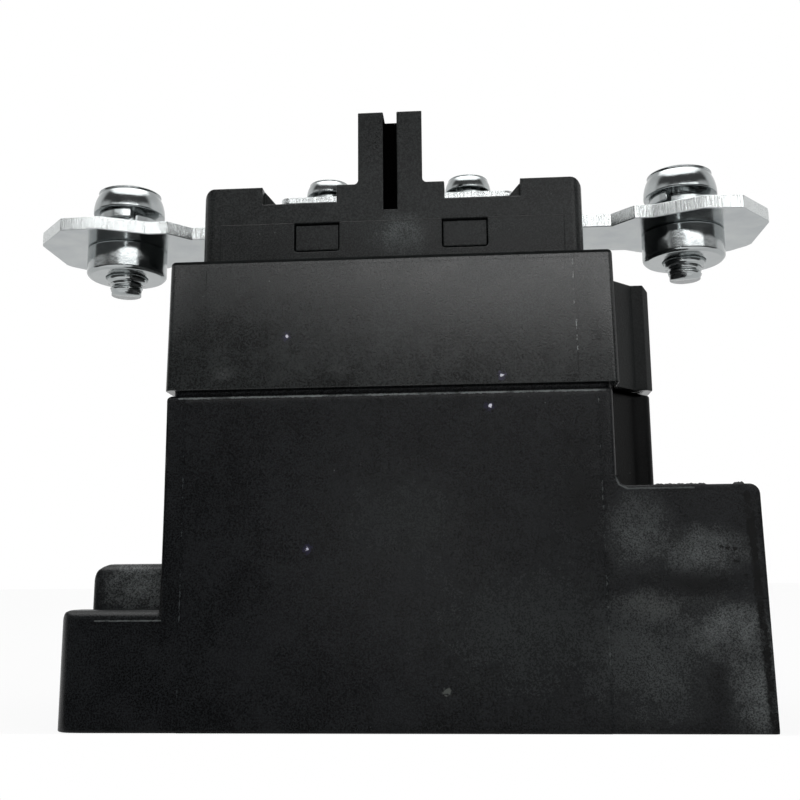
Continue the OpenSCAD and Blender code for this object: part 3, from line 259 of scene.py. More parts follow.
def soften(piece, radius_mm, sharp_deg=34, steps=3, fitting_share=0.4):
    """Rounds a piece's sharp edges; an edge with short neighbours gets a share of their length."""
    work = bmesh.new()
    work.from_mesh(piece.data)
    layers = work.edges.layers.float
    weight = layers.get("bevel_weight_edge") or layers.new("bevel_weight_edge")
    for edge in work.edges:
        edge.smooth = True
        if len(edge.link_faces) != 2:
            continue
        if edge.calc_face_angle(0) > math.radians(sharp_deg):
            nearby = [e.calc_length() for v in edge.verts for e in v.link_edges if e is not edge]
            room = fitting_share * min(nearby + [edge.calc_length()])
            edge[weight] = min(1.0, room / (radius_mm * MM))
    for face in work.faces:
        face.smooth = True
    work.to_mesh(piece.data)
    work.free()
    rounder = piece.modifiers.new("edge radius", "BEVEL")
    rounder.limit_method = "WEIGHT"
    rounder.width = radius_mm * MM
    rounder.segments = steps
    rounder.use_clamp_overlap = False
    shader = piece.modifiers.new("flat faces stay flat", "WEIGHTED_NORMAL")
    shader.keep_sharp = True
    made_plain(piece)
    return piece


def join(first, *others):
    """Joins pieces into the first one."""
    work = bmesh.new()
    for piece in (first, *others):
        work.from_mesh(piece.data)
    work.to_mesh(first.data)
    work.free()
    for piece in others:
        bpy.data.objects.remove(piece)
    return first


def dress(piece, material, node):
    """Gives a finished piece its material and lets it stand for its CAD node."""
    piece.data.materials.clear()
    piece.data.materials.append(material)
    for body, nodes in frame["record"]["behaviour"]["bodies"].items():
        if node in nodes:
            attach(piece, body)
    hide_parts(node)


def deepen(piece, material, low_mm, high_mm):
    """Gives the faces whose middle lies in a box the piece's second finish."""
    piece.data.materials.append(material)
    last = len(piece.data.materials) - 1
    for face in piece.data.polygons:
        if all(low <= c / MM <= high for low, c, high in zip(low_mm, face.center, high_mm)):
            face.material_index = last


def flash_fin(work, first, last, tall, front_y, block_top):
    """The mould's flash along the block's upper front edge, a ragged fin from one x to another."""
    near_y, far_y, root, spacing = front_y + 0.25, front_y + 0.5, -0.3, 0.2
    count = round((last - first) / spacing)
    rows = []
    for step in range(count + 1):
        x = first + (last - first) * step / count
        wave = math.sin(7.3 * x) * math.sin(3.1 * x + 1)
        taper = min(step, count - step, 2) / 2
        rise = tall * (0.65 + 0.35 * wave) * taper
        corners = ((near_y, root), (near_y, rise), (far_y, rise), (far_y, root))
        rows.append([work.verts.new((x * MM, y * MM, (block_top + z) * MM)) for y, z in corners])
    for near, far in zip(rows, rows[1:]):
        for k in range(4):
            work.faces.new((near[k], near[(k + 1) % 4], far[(k + 1) % 4], far[k]))
    work.faces.new(rows[0])
    work.faces.new(rows[-1])


def foot_ring(work, outer, inner, low_z, high_z, corner_steps=6):
    """The tongue's broader foot: a ring between two rounded outlines that closes the joint above."""
    loops = []
    for (half_w, half_d, radius), z in ((outer, low_z), (outer, high_z), (inner, high_z), (inner, low_z)):
        loop = []
        for quarter, (sign_x, sign_y) in enumerate(((1, 1), (-1, 1), (-1, -1), (1, -1))):
            for step in range(corner_steps):
                turn = math.radians(90 * (quarter + step / (corner_steps - 1)))
                x = sign_x * (half_w - radius) + radius * math.cos(turn)
                y = sign_y * (half_d - radius) + radius * math.sin(turn)
                loop.append(work.verts.new((x * MM, y * MM, z * MM)))
        loops.append(loop)
    around = len(loops[0])
    for near, far in zip(loops, loops[1:] + loops[:1]):
        for k in range(around):
            work.faces.new((near[k], near[(k + 1) % around], far[(k + 1) % around], far[k]))


front_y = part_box("base_case")[0].y / MM
block_top = 34.6
# a speck is its middle, radius and tint; a pale one has a dark ring
base_specks = [
    ((15.0, front_y, 46.7), 0.8, "#242236"),
    ((15.0, front_y, 46.7), 0.3, "#e6e6f2"),
    ((-12.2, front_y, 26.0), 0.8, "#242236"),
    ((-12.2, front_y, 26.0), 0.3, "#dcdcec"),
    ((8.0, front_y, 5.7), 0.55, "#555855"),
]
# a row of small dark pits in the block's haze
block_pits = (
    (40.7, 25.8), (47.4, 25.8), (48.3, 25.4), (49.2, 25.3),
    (49.6, 24.4), (49.3, 23.6), (48.2, 22.9), (50.4, 21.7),
)
base_specks += [((x, front_y, z), 0.36, "#060707") for x, z in block_pits]
# a smudge is its middle, radii, tint and strength: the block's haze, pale patches that paint the sheen on
# the main face, a dark patch that paints its shade at the upper right, and the ear
base_smudges = [
    ((37.0, front_y, 9.5), (12.0, 4, 12.0), "#525656", 0.7),
    ((36.0, front_y, 28.0), (6.5, 4, 7.5), "#5c6060", 0.8),
    # painted highlight: a pale patch for the sheen on the main face
    ((2.0, front_y, 30.0), (14.0, 4, 9.0), "#323636", 0.55),
    # painted shade: a dark patch at the main face's upper right
    ((27.5, front_y, 33.0), (6.0, 4, 10.0), "#060707", 0.75),
    ((45.0, front_y, 25.0), (9.0, 4, 4.6), "#6a6e6e", 0.9),
    ((37.0, front_y, 17.6), (8.0, 4, 3.2), "#5c5f5e", 0.7),
    ((48.0, front_y, 14.5), (8.5, 4, 5.6), "#6e7272", 0.95),
    ((51.0, front_y, 6.0), (5.5, 4, 10.0), "#6a6e6e", 0.9),
    ((43.5, front_y, 20.6), (9.0, 4, 3.0), "#070808", 0.85),
    # painted highlight: a pale patch for the light on the main face's lower right
    ((20.0, front_y, 14.0), (22.0, 4, 14.0), "#383c3c", 0.6),
    ((-39.0, front_y + 7.4, 21.0), (10.0, 4, 6.0), "#747878", 1.0),
]
# a stroke is its start, end, width, tint and strength: painted highlights along the rim, the hollow corner,
# the block's top and the ear's top, and painted shade down the block's right edge
rim_y, edge_y = front_y + 0.2, front_y + 0.15
block_edge_z = block_top - 0.45
base_painted_edge_light = [
    # painted highlights along the rounded front edges
    ((-32.0, rim_y, 48.8), (32.0, rim_y, 48.8), 0.36, "#7e8383", 1.0),
    ((33.05, front_y + 0.3, 48.6), (32.9, edge_y, 36.0), 0.24, "#5c6060", 0.8),
    ((32.9, edge_y, 36.0), (33.4, edge_y, 34.7), 0.26, "#5c6060", 0.9),
    ((33.4, edge_y, 34.7), (34.6, edge_y, block_edge_z), 0.26, "#5c6060", 1.0),
    ((34.6, edge_y, block_edge_z), (44.0, edge_y, block_edge_z), 0.24, "#565a5a", 0.9),
    # painted shade: a dark line down the block's rounded right edge
    ((51.5, edge_y, 33.0), (53.1, edge_y, 0.5), 1.2, "#050606", 1.0),
    ((-43.6, rim_y, 15.8), (-33.8, rim_y, 15.8), 0.22, "#6a6e6e", 0.8),
]
# a seam is its x, lower and upper end, tint and share of crumbs
base_seams = [(31.0, 4.0, 47.5, "#565a5a", 0.1), (-31.0, 2.0, 47.0, "#44484a", 0.08)]
base_plastic = moulded_plastic(
    "black PBT, spark-eroded, base",
    "#070809",
    "#202224",
    grain_mm=0.26,
    sheen=0.24,
    gloss=0.215,
    edge_mm=0.7,
    specks=base_specks,
    smudges=base_smudges,
    seams=base_seams,
    strokes=base_painted_edge_light,
)
base_case = soften(merged_copy("base_case"), radius_mm=0.6)
extra = bmesh.new()
flash_fin(extra, 38.2, 45.9, 0.24, front_y, block_top)
flash_fin(extra, 49.6, 51.2, 0.5, front_y, block_top)
foot_ring(extra, outer=(33.15, 23.3, 1.4), inner=(31.0, 21.2, 0.4), low_z=49.2, high_z=49.95)
bmesh.ops.recalc_face_normals(extra, faces=extra.faces[:])
trim = bpy.data.objects.new("flash", bpy.data.meshes.new("flash"))
bpy.context.scene.collection.objects.link(trim)
extra.to_mesh(trim.data)
extra.free()
join(base_case, trim)
dress(base_case, base_plastic, "base_case")

# the duct's set-back faces get a darker, duller copy of the plastic: painted shade
base_duct_painted_shade = moulded_plastic(
    "black PBT, duct in painted shade, base", "#0a0b0b", "#161717", grain_mm=0.28, sheen=0.1, gloss=0.4
)
base_duct_low, base_duct_high = (33.4, -30, 35.2), (50, 30, 49.2)
deepen(base_case, base_duct_painted_shade, base_duct_low, base_duct_high)


# Contact cover

# The shell over the contacts, snapped into the carrier above it. The same
# PBT from another mould with a smoother surface, so it looks a little greyer.

cover_y = front_y - 0.3
cover_specks = [
    ((-15.5, cover_y, 58.0), 0.8, "#343246"),
    ((-15.5, cover_y, 58.0), 0.3, "#f0f0f8"),
    ((16.9, cover_y, 51.2), 0.8, "#343246"),
    ((16.9, cover_y, 51.2), 0.3, "#ececf6"),
    ((9.2, cover_y, 66.6), 0.25, "#9a9d9d"),
]
cover_smudges = [
    ((-25.0, front_y, 52.4), (2.6, 2, 1.6), "#484b4b", 0.5),
    ((-7.6, front_y, 52.6), (2.4, 2, 1.2), "#454848", 0.4),
]
cover_seams = [
    (28.0, 61.0, 69.0, "#6d7070", 0.12),
    (28.25, 50.5, 69.6, "#060707", 0.4),
    (28.2, 53.5, 59.5, "#8a8e8e", 0.08),
    (-28.2, 59.0, 69.0, "#0c0d0d", 0.2),
]
cover_strokes = [((-17.5, cover_y, 61.5), (-15.7, cover_y, 61.55), 0.22, "#6d7171", 1.0)]
cover_plastic = moulded_plastic(
    "black PBT, spark-eroded, cover",
    "#0f1010",
    "#303333",
    grain_mm=0.26,
    sheen=0.5,
    gloss=0.13,
    edge_mm=0.25,
    pit_mm=0.025,
    specks=cover_specks,
    smudges=cover_smudges,
    seams=cover_seams,
    strokes=cover_strokes,
)
contact_cover = merged_copy("contact_cover")

# the snap hooks fill their windows with a flat face, so the slope's upper edge comes forward
hook_near, hook_far, hook_inside, hook_outside, hook_foot = 7, 16, 16, 19, 73
slope_top, hook_raise, hook_widen, hook_face_y = 77.4, 0.3, 0.14, 18.35
at_slope_top = 0.05


def on_a_hook(x, y, z):
    """Whether a point of the cover, in millimetres, lies on one of its snap hooks."""
    return hook_near < abs(x) < hook_far and hook_inside < abs(y) < hook_outside and z > hook_foot


hooks = [v for v in contact_cover.data.vertices if on_a_hook(*(v.co / MM))]
near_x, far_x = min(abs(v.co.x) for v in hooks), max(abs(v.co.x) for v in hooks)
for corner in hooks:
    outward = -1 if abs(corner.co.x) < (near_x + far_x) / 2 else 1
    corner.co.x += math.copysign(hook_widen * MM, corner.co.x) * outward
    if abs(corner.co.z / MM - slope_top) < at_slope_top:
        corner.co.z += hook_raise * MM
        corner.co.y = math.copysign(hook_face_y * MM, corner.co.y)

# the raised front panel hardly shows, so its edge is sunk to a few hundredths of a millimetre
cover_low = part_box("contact_cover")[0]
panel_half_w, panel_sink, front_draft = 28.2, 0.12, 0.011
at_panel_edge, before_wall = 0.03, 0.06
for corner in contact_cover.data.vertices:
    wall_y = cover_low.y + (corner.co.z - cover_low.z) * front_draft
    beside_edge = abs(abs(corner.co.x) / MM - panel_half_w)
    if beside_edge < at_panel_edge and corner.co.y < wall_y + before_wall * MM:
        corner.co.y += panel_sink * MM
soften(contact_cover, radius_mm=0.15)
dress(contact_cover, cover_plastic, "contact_cover")
# the cover's duct faces get a darker, duller copy of the plastic: painted shade
cover_duct_painted_shade = moulded_plastic(
    "black PBT, duct in painted shade, cover", "#161818", "#262828", grain_mm=0.28, sheen=0.15, gloss=0.35
)
cover_duct_low, cover_duct_high = (33.9, -30, 49.0), (50, 30, 70.0)
deepen(contact_cover, cover_duct_painted_shade, cover_duct_low, cover_duct_high)
# the cover's rounded upper front edge gets a darker copy of the plastic without gloss: a painted shadow
# line
cover_rim_painted_shade = moulded_plastic(
    "black PBT, upper edge in painted shade", "#141515", "#202222", grain_mm=0.28, sheen=0.0, gloss=0.6
)
rim_low, rim_high = (-40, -30, 69.75), (40, -22.0, 71.0)
deepen(contact_cover, cover_rim_painted_shade, rim_low, rim_high)


# Terminal carrier

# The upper block that holds the busbars and the coil terminals, with the
# slotted barrier column between the poles. Moulded in the cover's plastic.

carrier_y, band_y, band_top = front_y + 5.0, -18.75, 78.0
band_strokes = [((-27.3, band_y, band_top), (27.3, band_y, band_top), 0.3, "#040404", 1.0)]
# painted highlights: pale patches on the band's middle and right
carrier_smudges = [
    ((1.5, carrier_y, 75.5), (6.0, 3, 5.0), "#707575", 0.9),
    ((17.0, carrier_y, 76.5), (8.0, 3, 3.5), "#464949", 0.6),
]
carrier_plastic = moulded_plastic(
    "black PBT, spark-eroded, carrier",
    "#101212",
    "#333636",
    grain_mm=0.26,
    sheen=0.22,
    gloss=0.19,
    edge_mm=0.25,
    pit_mm=0.05,
    smudges=carrier_smudges,
    strokes=band_strokes,
)
terminal_carrier = merged_copy("terminal_carrier")

# the column's groove is a little narrower than in the solids
groove_half, shown_half, groove_back_y, groove_foot = 1.3, 1.1, -14.4, 79
at_groove_wall = 0.02
for corner in terminal_carrier.data.vertices:
    x, y, z = corner.co / MM
    if abs(abs(x) - groove_half) < at_groove_wall and y < groove_back_y and z > groove_foot:
        corner.co.x = math.copysign(shown_half * MM, x)
soften(terminal_carrier, radius_mm=0.15)
dress(terminal_carrier, carrier_plastic, "terminal_carrier")

# the cover's hooks in the windows have the carrier's finish
for side in (-1, 1):
    for face in (-1, 1):
        x_low, x_high = sorted((side * hook_near, side * hook_far))
        y_low, y_high = sorted((face * (hook_inside + 0.2), face * hook_outside))
        deepen(contact_cover, carrier_plastic, (x_low, y_low, 72.5), (x_high, y_high, 79.0))

# the groove's walls get an almost black copy of the plastic without gloss: painted shade in the deep slot
groove_painted_shade = moulded_plastic(
    "black PBT, groove in painted shade", "#040404", "#0a0a0a", grain_mm=0.3, sheen=0.0, gloss=0.9
)
column_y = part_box("terminal_carrier")[0].y / MM
groove_low = (-groove_half, column_y + 0.2, groove_foot)
groove_high = (groove_half, column_y + 4.6, 100.0)
deepen(terminal_carrier, groove_painted_shade, groove_low, groove_high)


# Main busbars

# Two stamped copper bars with bright tin plate. Their broad faces are smooth
# and mirror-like; the sheared rim is streaked through its thickness.


def plated_bar(name):
    """Bright tin plate over stamped copper: smooth faces, a bright streaked rim."""
    made, tree, place, output = new_material(name)
    facing = add(tree, "ShaderNodeNewGeometry").outputs["Normal"]
    upright = add(tree, "ShaderNodeSeparateXYZ", {"Vector": facing}).outputs["Z"]
    rim = spread(tree, number(tree, "ABSOLUTE", upright), 0.7, 0.3, smooth=False)
    across, through = 1 / (0.26 * MM), 1 / (2.6 * MM)
    drawn = add(tree, "ShaderNodeMapping", {"Vector": place, "Scale": (across, across, through)}).outputs[0]
    sockets = {"Vector": drawn, "Scale": 1.0, "Detail": 4.0, "Roughness": 0.65}
    streaks = add(tree, "ShaderNodeTexNoise", sockets).outputs["Fac"]
    cloud = noise(tree, place, size_mm=5, detail=5.0, rough=0.6)
    colour = tinted(tree, srgb("#a9aeb0"), varied(tree, cloud), "#bcc0c0")
    sheared = tinted(tree, colour, rim, "#dfe3e3")
    face_gloss = varied(tree, cloud, 0.12, 0.22)
    rim_gloss = varied(tree, streaks, 0.16, 0.3)
    gloss = add(tree, "ShaderNodeMix", {"Factor": rim, "A": face_gloss, "B": rim_gloss}).outputs["Result"]
    depth = number(tree, "MULTIPLY", rim, 0.8)
    sockets = {"Height": streaks, "Strength": depth, "Distance": 0.12 * MM}
    relief = add(tree, "ShaderNodeBump", sockets).outputs["Normal"]
    coat(tree, output, {"Base Color": sheared, "Metallic": 1.0, "Roughness": gloss, "Normal": relief})
    return made


tin_plate = plated_bar("bright tin plate on stamped copper")
for node in ("main_bar_left", "main_bar_right"):
    bar = soften(merged_copy(node), radius_mm=0.14)
    dress(bar, tin_plate, node)


# Main screws, nuts and washers

# Zinc-plated M6 pan-head screws with captive washers, each in a round weld
# nut below its busbar. Cold-headed and tumbled, so the zinc has soft dents.


def zinc_plate(name, low, high):
    """Bright zinc plate over tumbled steel: soft dents and cloudy gloss."""
    made, tree, place, output = new_material(name)
    dents = noise(tree, place, size_mm=0.9, detail=3.0, rough=0.55)
    cloud = noise(tree, place, size_mm=3, detail=4.0)
    colour = tinted(tree, srgb("#a3a8a9"), cloud, "#b9bdbd")
    gloss = varied(tree, cloud, low, high)
    sockets = {"Height": dents, "Strength": 0.25, "Distance": 0.06 * MM}
    relief = add(tree, "ShaderNodeBump", sockets).outputs["Normal"]
    coat(tree, output, {"Base Color": colour, "Metallic": 1.0, "Roughness": gloss, "Normal": relief})
    return made


def thread_tree(core, tip, ridge, pitch, turns, past_ridge, collar_foot, collar_top, collar_tall, sides=48):
    """Geometry nodes: a threaded stub, its ridge wound round a core, below the nut's raised collar."""
    tree = bpy.data.node_groups.new("rolled thread", "GeometryNodeTree")
    sizes = {
        "Core radius": core * MM,
        "Tip radius": tip * MM,
        "Ridge": ridge * MM,
        "Pitch": pitch * MM,
        "Turns": turns,
        "Core past ridge": past_ridge * MM,
        "Collar foot radius": collar_foot * MM,
        "Collar top radius": collar_top * MM,
        "Collar height": collar_tall * MM,
        "Collar place": 0.0,
    }
    for name, value in sizes.items():
        socket = tree.interface.new_socket(name, in_out="INPUT", socket_type="NodeSocketFloat")
        socket.default_value = value
    tree.interface.new_socket("Foot", in_out="INPUT", socket_type="NodeSocketVector")
    tree.interface.new_socket("Material", in_out="INPUT", socket_type="NodeSocketMaterial")
    tree.interface.new_socket("Geometry", in_out="OUTPUT", socket_type="NodeSocketGeometry")
    given = add(tree, "NodeGroupInput").outputs

    height = number(tree, "MULTIPLY", given["Pitch"], given["Turns"])
    spiral = {"Resolution": sides, "Rotations": given["Turns"], "Height": height}
    spiral |= {"Start Radius": given["Tip radius"], "End Radius": given["Core radius"]}
    helix = add(tree, "GeometryNodeCurveSpiral", spiral).outputs["Curve"]
    section = {"Resolution": 6, "Radius": given["Ridge"]}
    profile = add(tree, "GeometryNodeCurvePrimitiveCircle", section).outputs["Curve"]
    sweep = {"Curve": helix, "Profile Curve": profile, "Fill Caps": True}
    wound = add(tree, "GeometryNodeCurveToMesh", sweep).outputs[0]

    tall = number(tree, "ADD", height, given["Core past ridge"])
    shaft = {"Vertices": sides, "Radius": given["Core radius"], "Depth": tall}
    cylinder = add(tree, "GeometryNodeMeshCylinder", shaft).outputs["Mesh"]
    middle = add(tree, "ShaderNodeCombineXYZ", {"Z": number(tree, "MULTIPLY", height, 0.5)}).outputs[0]
    raised = add(tree, "GeometryNodeTransform", {"Geometry": cylinder, "Translation": middle}).outputs[0]

    cone = {"Vertices": sides, "Depth": given["Collar height"]}
    cone |= {"Radius Bottom": given["Collar foot radius"], "Radius Top": given["Collar top radius"]}
    ring = add(tree, "GeometryNodeMeshCone", cone).outputs["Mesh"]
    ring_place = add(tree, "ShaderNodeCombineXYZ", {"Z": given["Collar place"]}).outputs[0]
    collar = add(tree, "GeometryNodeTransform", {"Geometry": ring, "Translation": ring_place}).outputs[0]

    whole = add(tree, "GeometryNodeJoinGeometry")
    for part in (collar, wound, raised):
        tree.links.new(part, whole.inputs[0])
    moved = {"Geometry": whole.outputs[0], "Translation": given["Foot"]}
    placed = add(tree, "GeometryNodeTransform", moved).outputs[0]
    real = add(tree, "GeometryNodeRealizeInstances", {"Geometry": placed}).outputs[0]
    painted = add(tree, "GeometryNodeSetMaterial", {"Geometry": real, "Material": given["Material"]})
    add(tree, "NodeGroupOutput", {"Geometry": painted.outputs[0]})
    return tree


def grown(name, tree, values):
    """A plain mesh object from a geometry tree, with the tree's named inputs set."""
    made = bpy.data.objects.new(name, bpy.data.meshes.new(name))
    bpy.context.scene.collection.objects.link(made)
    maker = made.modifiers.new(name, "NODES")
    maker.node_group = tree
    for item in tree.interface.items_tree:
        if item.in_out == "INPUT" and item.name in values:
            maker[item.identifier] = values[item.name]
    made_plain(made)
    for face in made.data.polygons:
        face.use_smooth = True
    return made


def rounder_head(piece, axis_x, seat_z, radius, height, inward, down):
    """Draws a pan head's shoulder in to the full round of a cold-headed screw, an ellipse in section."""
    old_corner = 0.48 * height
    rings, above_top, beside_wall = 8, 0.02, 0.05 * radius
    work = bmesh.new()
    work.from_mesh(piece.data)
    for ring in range(rings):
        up = height - down + (down - old_corner) * ring / (rings - 1)
        level = Vector((0, 0, seat_z + up)) * MM
        everything = work.verts[:] + work.edges[:] + work.faces[:]
        bmesh.ops.bisect_plane(work, geom=everything, plane_co=level, plane_no=(0, 0, 1))
    for point in work.verts:
        up = point.co.z / MM - seat_z
        out = math.hypot(point.co.x / MM - axis_x, point.co.y / MM)
        if up < height - down or up > height + above_top:
            continue
        over_corner = max(up - height + old_corner, 0)
        old = radius - old_corner + math.sqrt(max(old_corner**2 - over_corner**2, 0))
        new = radius - inward + inward * math.sqrt(max(1 - ((up - height + down) / down) ** 2, 0))
        if abs(out - old) < beside_wall:
            point.co.x = (axis_x + (point.co.x / MM - axis_x) * new / old) * MM
            point.co.y *= new / old
    work.to_mesh(piece.data)
    work.free()


def cut_below(piece, place):
    """Takes off what lies below a point, where the finer thread takes its place."""
    work = bmesh.new()
    work.from_mesh(piece.data)
    everything = work.verts[:] + work.edges[:] + work.faces[:]
    bmesh.ops.bisect_plane(work, geom=everything, plane_co=place, plane_no=(0, 0, -1), clear_outer=True)
    work.to_mesh(piece.data)
    work.free()


zinc = zinc_plate("bright zinc plate on tumbled steel", low=0.1, high=0.2)
rolled_thread = thread_tree(
    core=2.6,
    tip=2.3,
    ridge=0.55,
    pitch=1.0,
    turns=4.0,
    past_ridge=1.4,
    collar_foot=3.3,
    collar_top=3.75,
    collar_tall=1.2,
)
main_head = {"radius": 6.3, "height": 5.4, "inward": 3.6, "down": 5.0}
cut_in_nut, thread_above_tip, collar_below_nut = 1.2, 0.55, 1.0
for side in ("left", "right"):
    nut_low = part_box("main_nut_" + side)[0]
    screw_low, screw_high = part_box("main_screw_" + side)
    axis_x = (screw_low.x + screw_high.x) / 2
    head = merged_copy("main_screw_" + side)
    rounder_head(head, axis_x / MM, screw_high.z / MM - main_head["height"], **main_head)
    soften(head, radius_mm=0.2)
    cut_below(head, Vector((axis_x, 0, nut_low.z + cut_in_nut * MM)))
    foot = Vector((axis_x, 0, screw_low.z + thread_above_tip * MM))
    collar_place = nut_low.z - foot.z - collar_below_nut * MM
    values = {"Foot": foot, "Collar place": collar_place, "Material": zinc}
    stub = grown("thread_" + side, rolled_thread, values)
    dress(join(head, stub), zinc, "main_screw_" + side)
    for kind in ("main_nut_", "main_flat_washer_", "main_spring_washer_"):
        dress(soften(merged_copy(kind + side), radius_mm=0.2), zinc, kind + side)


# Coil terminals

# Two small stamped copper plates with M4 pan-head screws and spring washers,
# which take the wires of the coil. The plates are tinned, the screws zinc-plated.

coil_head = {"radius": 4.05, "height": 3.2, "inward": 2.3, "down": 3.0}
for side in ("left", "right"):
    plate = soften(merged_copy("coil_terminal_" + side), radius_mm=0.12)
    dress(plate, tin_plate, "coil_terminal_" + side)
    coil_screw = merged_copy("coil_screw_" + side)
    screw_low, screw_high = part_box("coil_screw_" + side)
    axis_x = (screw_low.x + screw_high.x) / 2
    rounder_head(coil_screw, axis_x / MM, screw_high.z / MM - coil_head["height"], **coil_head)
    dress(soften(coil_screw, radius_mm=0.12), zinc, "coil_screw_" + side)
    washer = soften(merged_copy("coil_spring_washer_" + side), radius_mm=0.12)
    dress(washer, zinc, "coil_spring_washer_" + side)


# Inner pieces

# What the closed housing holds: contacts, coil, plunger, yoke, magnets and
# their fasteners. They keep their CAD meshes and get their real materials.


def plain_finish(name, dark, light, mottle_mm, gloss, metal=0.0):
    """A mottled surface with fine relief, for the pieces inside the housing."""
    made, tree, place, output = new_material(name)
    mottle = noise(tree, place, size_mm=mottle_mm, detail=4.0)
    colour = tinted(tree, srgb(dark), mottle, light)
    rough = varied(tree, mottle, gloss, gloss + 0.12)
    sockets = {"Height": mottle, "Strength": 0.15, "Distance": 0.05 * MM}
    relief = add(tree, "ShaderNodeBump", sockets).outputs["Normal"]
    coat(tree, output, {"Base Color": colour, "Metallic": metal, "Roughness": rough, "Normal": relief})
    return made


inner_finishes = {
    "bare_copper": plain_finish("bare copper, machined", "#b06a45", "#c98a63", 2.0, 0.25, 1.0),
    "silver_alloy": plain_finish("silver alloy, sintered", "#b9b8b2", "#d6d5d0", 0.6, 0.3, 1.0),
    "spring_steel": plain_finish("spring steel, drawn", "#7c7e80", "#999b9c", 0.8, 0.25, 1.0),
    "bright_steel": plain_finish("soft steel, zinc-plated", "#8f9293", "#b0b3b3", 1.5, 0.25, 1.0),
    "brass": plain_finish("brass tube, drawn", "#a88748", "#c2a25e", 1.5, 0.2, 1.0),
    "enamelled_copper": plain_finish(
        "enamelled copper wire, layer-wound", "#6a2c17", "#8c4224", 0.5, 0.25, 0.6
    ),
    "natural_plastic": plain_finish("nylon, uncoloured, moulded", "#cfc8b2", "#ddd7c4", 1.5, 0.4),
    "rubber": plain_finish("nitrile rubber, moulded", "#141414", "#212121", 0.7, 0.6),
    "lead_black": plain_finish("PVC sleeving, black, extruded", "#161718", "#222325", 1.0, 0.4),
    "lead_red": plain_finish("PVC sleeving, red, extruded", "#8c1a17", "#a3241f", 1.0, 0.4),
    "laminate_board": plain_finish("phenolic paper board, punched", "#4b3524", "#634934", 0.8, 0.45),
    "ferrite": plain_finish("ferrite, sintered", "#303133", "#424345", 0.4, 0.5),
    "zinc_steel": zinc,
}
shown_pieces = {o.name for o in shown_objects()}
for entry in frame["record"]["subparts"]:
    piece = frame["nodes"][entry["node"]]
    if piece.name in shown_pieces and entry["material_slot"] in inner_finishes:
        piece.data.materials.clear()
        piece.data.materials.append(inner_finishes[entry["material_slot"]])


# Floor, light and camera

# A pale studio floor before a white backdrop. A broad window above the front
# and a dim room below it, so black plastic stays dark and plate gleams.

floor_paint, tree, place, output = new_material("matt white studio paper")
paper = tinted(tree, srgb("#cdcdcd"), noise(tree, place, size_mm=2, detail=2.0), "#d4d4d4")
matt = add(tree, "ShaderNodeBsdfDiffuse", {"Color": paper}).outputs[0]
white = add(tree, "ShaderNodeEmission", {"Color": (1, 1, 1, 1), "Strength": 1.0}).outputs[0]
rays = add(tree, "ShaderNodeLightPath").outputs
# camera and glass rays see the floor nearly as the white backdrop, and mirrors see a share of that
glossy_share, backdrop_share = 0.25, 0.9
mirrored = number(tree, "MULTIPLY", rays["Is Glossy Ray"], glossy_share)
seen = number(tree, "MAXIMUM", rays["Is Camera Ray"], mirrored)
seen = number(tree, "MAXIMUM", seen, rays["Is Transmission Ray"])
seen = number(tree, "MULTIPLY", seen, backdrop_share)
shade = add(tree, "ShaderNodeMixShader", {0: seen, 1: matt, 2: white})
tree.links.new(shade.outputs[0], output.inputs["Surface"])

# the floor ends under the base's front face, so its light doesn't reach the front's foot
floor_half_w, floor_front_y, floor_back_y = 2, -0.0245, 3
bpy.ops.mesh.primitive_plane_add(size=2)
floor = bpy.context.object
floor.name = "studio floor"
for corner in floor.data.vertices:
    corner.co.x *= floor_half_w
    corner.co.y = floor_back_y if corner.co.y > 0 else floor_front_y
floor.data.materials.append(floor_paint)

world = bpy.data.worlds.new("studio room")
bpy.context.scene.world = world
world.use_nodes = True
sky = world.node_tree
sky.nodes.clear()
toward = add(sky, "ShaderNodeTexCoord").outputs["Generated"]
way = add(sky, "ShaderNodeSeparateXYZ", {"Vector": toward}).outputs
right, back, up = way["X"], way["Y"], way["Z"]


def ramp(value, low, high, to_low=0.0, to_high=1.0):
    """A soft step of the world's light between two directions."""
    return spread(sky, value, low, high, to_low, to_high)


def product(*values):
    """The values multiplied together."""
    total = values[0]
    for value in values[1:]:
        total = number(sky, "MULTIPLY", total, value)
    return total


def total_of(*values):
    """The values added together."""
    total = values[0]
    for value in values[1:]:
        total = number(sky, "ADD", total, value)
    return total


before = ramp(back, 0.1, -0.2)
behind = ramp(back, -0.15, 0.15)
aside = number(sky, "ABSOLUTE", right)
# an even room, a bright ceiling panel, and the backdrop's own light
room = total_of(0.08, product(ramp(up, 0.3, 0.9), ramp(back, -0.2, 0.3), 0.25))
ceiling = product(ramp(up, 0.765, 0.81), ramp(back, 0.35, 0.1), ramp(aside, 0.66, 0.5), 2.4)
backdrop = product(behind, ramp(up, 0.75, 0.45, 0.25, 0.7))
# the window is a strip that rises to the left, brighter on its right, with a dim sill under it
slant = number(sky, "MULTIPLY_ADD", right, 0.12, up)
lower = ramp(right, -0.26, -0.04, 0.1, 0.33)
strip = product(before, ramp(slant, 0.268, 0.29), ramp(up, 0.315, 0.335, lower, 1.0), ramp(up, 0.4, 0.365))
window_right, window_left = ramp(right, 0.74, 0.62), ramp(right, -0.66, -0.56)
window = product(strip, window_right, window_left, ramp(right, -0.3, 0.06, 2.0, 5.0))
sill_right, sill_left = ramp(right, 0.16, 0.09), ramp(right, -0.25, -0.08)
sill = product(before, ramp(up, 0.17, 0.24), ramp(up, 0.31, 0.28), sill_left, sill_right, 0.3)
flanks = product(before, ramp(up, 0.27, 0.31), ramp(up, 0.55, 0.4), ramp(aside, 0.55, 0.8), 0.6)
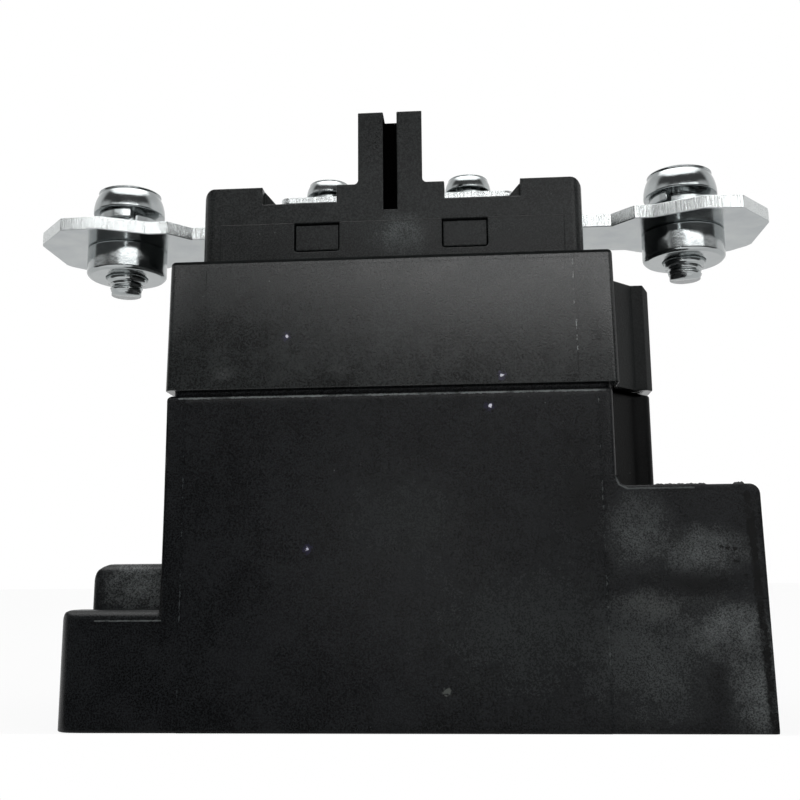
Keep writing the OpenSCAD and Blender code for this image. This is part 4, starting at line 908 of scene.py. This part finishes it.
# a pale card low before the block, and the floor near the camera
card_right, card_left = ramp(right, 0.5, 0.34), ramp(right, -0.02, 0.1)
low_card = product(before, card_left, card_right, ramp(up, 0.035, -0.02), ramp(up, -0.15, -0.09), 1.3)
near_floor = product(before, ramp(up, -0.4, -0.55), 0.9)
strength = total_of(room, ceiling, sill, window, flanks, low_card, near_floor, backdrop)
light = add(sky, "ShaderNodeBackground", {"Color": (1, 1, 1, 1), "Strength": strength}).outputs[0]
paper_white = add(sky, "ShaderNodeBackground", {"Color": (1, 1, 1, 1), "Strength": 1.0}).outputs[0]
rays = add(sky, "ShaderNodeLightPath").outputs
through = number(sky, "MAXIMUM", rays["Is Camera Ray"], rays["Is Transmission Ray"])
mirrored = product(rays["Is Glossy Ray"], behind, glossy_share)
both = add(sky, "ShaderNodeMixShader", {0: total_of(through, mirrored), 1: light, 2: paper_white})
add(sky, "ShaderNodeOutputWorld", {"Surface": both.outputs[0]})


def softbox(name, place_mm, aim_mm, width_mm, height_mm, watts):
    """A rectangular area lamp turned towards a point."""
    lamp = bpy.data.lights.new(name, "AREA")
    lamp.shape = "RECTANGLE"
    lamp.size, lamp.size_y = width_mm * MM, height_mm * MM
    lamp.energy = watts
    made = bpy.data.objects.new(name, lamp)
    made.location = Vector(place_mm) * MM
    made.rotation_euler = (Vector(aim_mm) * MM - made.location).to_track_quat("-Z", "Y").to_euler()
    bpy.context.scene.collection.objects.link(made)


softbox("top softbox", (0, 40, 560), (0, 0, 60), width_mm=420, height_mm=300, watts=0.5)
softbox("lamp beside the lens", (-10.8, -175, 27), (0.5, -24, 24), width_mm=15, height_mm=15, watts=0.0054)

# the camera, solved from the photograph's edges, at the photograph's viewing angle
camera_mm = (12.10, -170.49, 21.49)
yaw, pitch, roll = math.radians(-4.068), math.radians(10.155), math.radians(-0.501)
ahead = Vector((math.sin(yaw) * math.cos(pitch), math.cos(yaw) * math.cos(pitch), math.sin(pitch)))
level = Vector((math.cos(yaw), -math.sin(yaw), 0))
above = level.cross(ahead)
turned = level * math.cos(roll) + above * math.sin(roll)
upward = above * math.cos(roll) - level * math.sin(roll)
camera = bpy.data.objects.new("camera", bpy.data.cameras.new("camera"))
camera.data.sensor_width = 36
camera.data.lens = 45.0
camera.data.clip_start = 0.01
facing = Matrix((turned, upward, -ahead)).transposed().to_4x4()
camera.matrix_world = Matrix.Translation(Vector(camera_mm) * MM) @ facing
bpy.context.scene.collection.objects.link(camera)
bpy.context.scene.camera = camera
bpy.context.scene.view_settings.view_transform = "Standard"
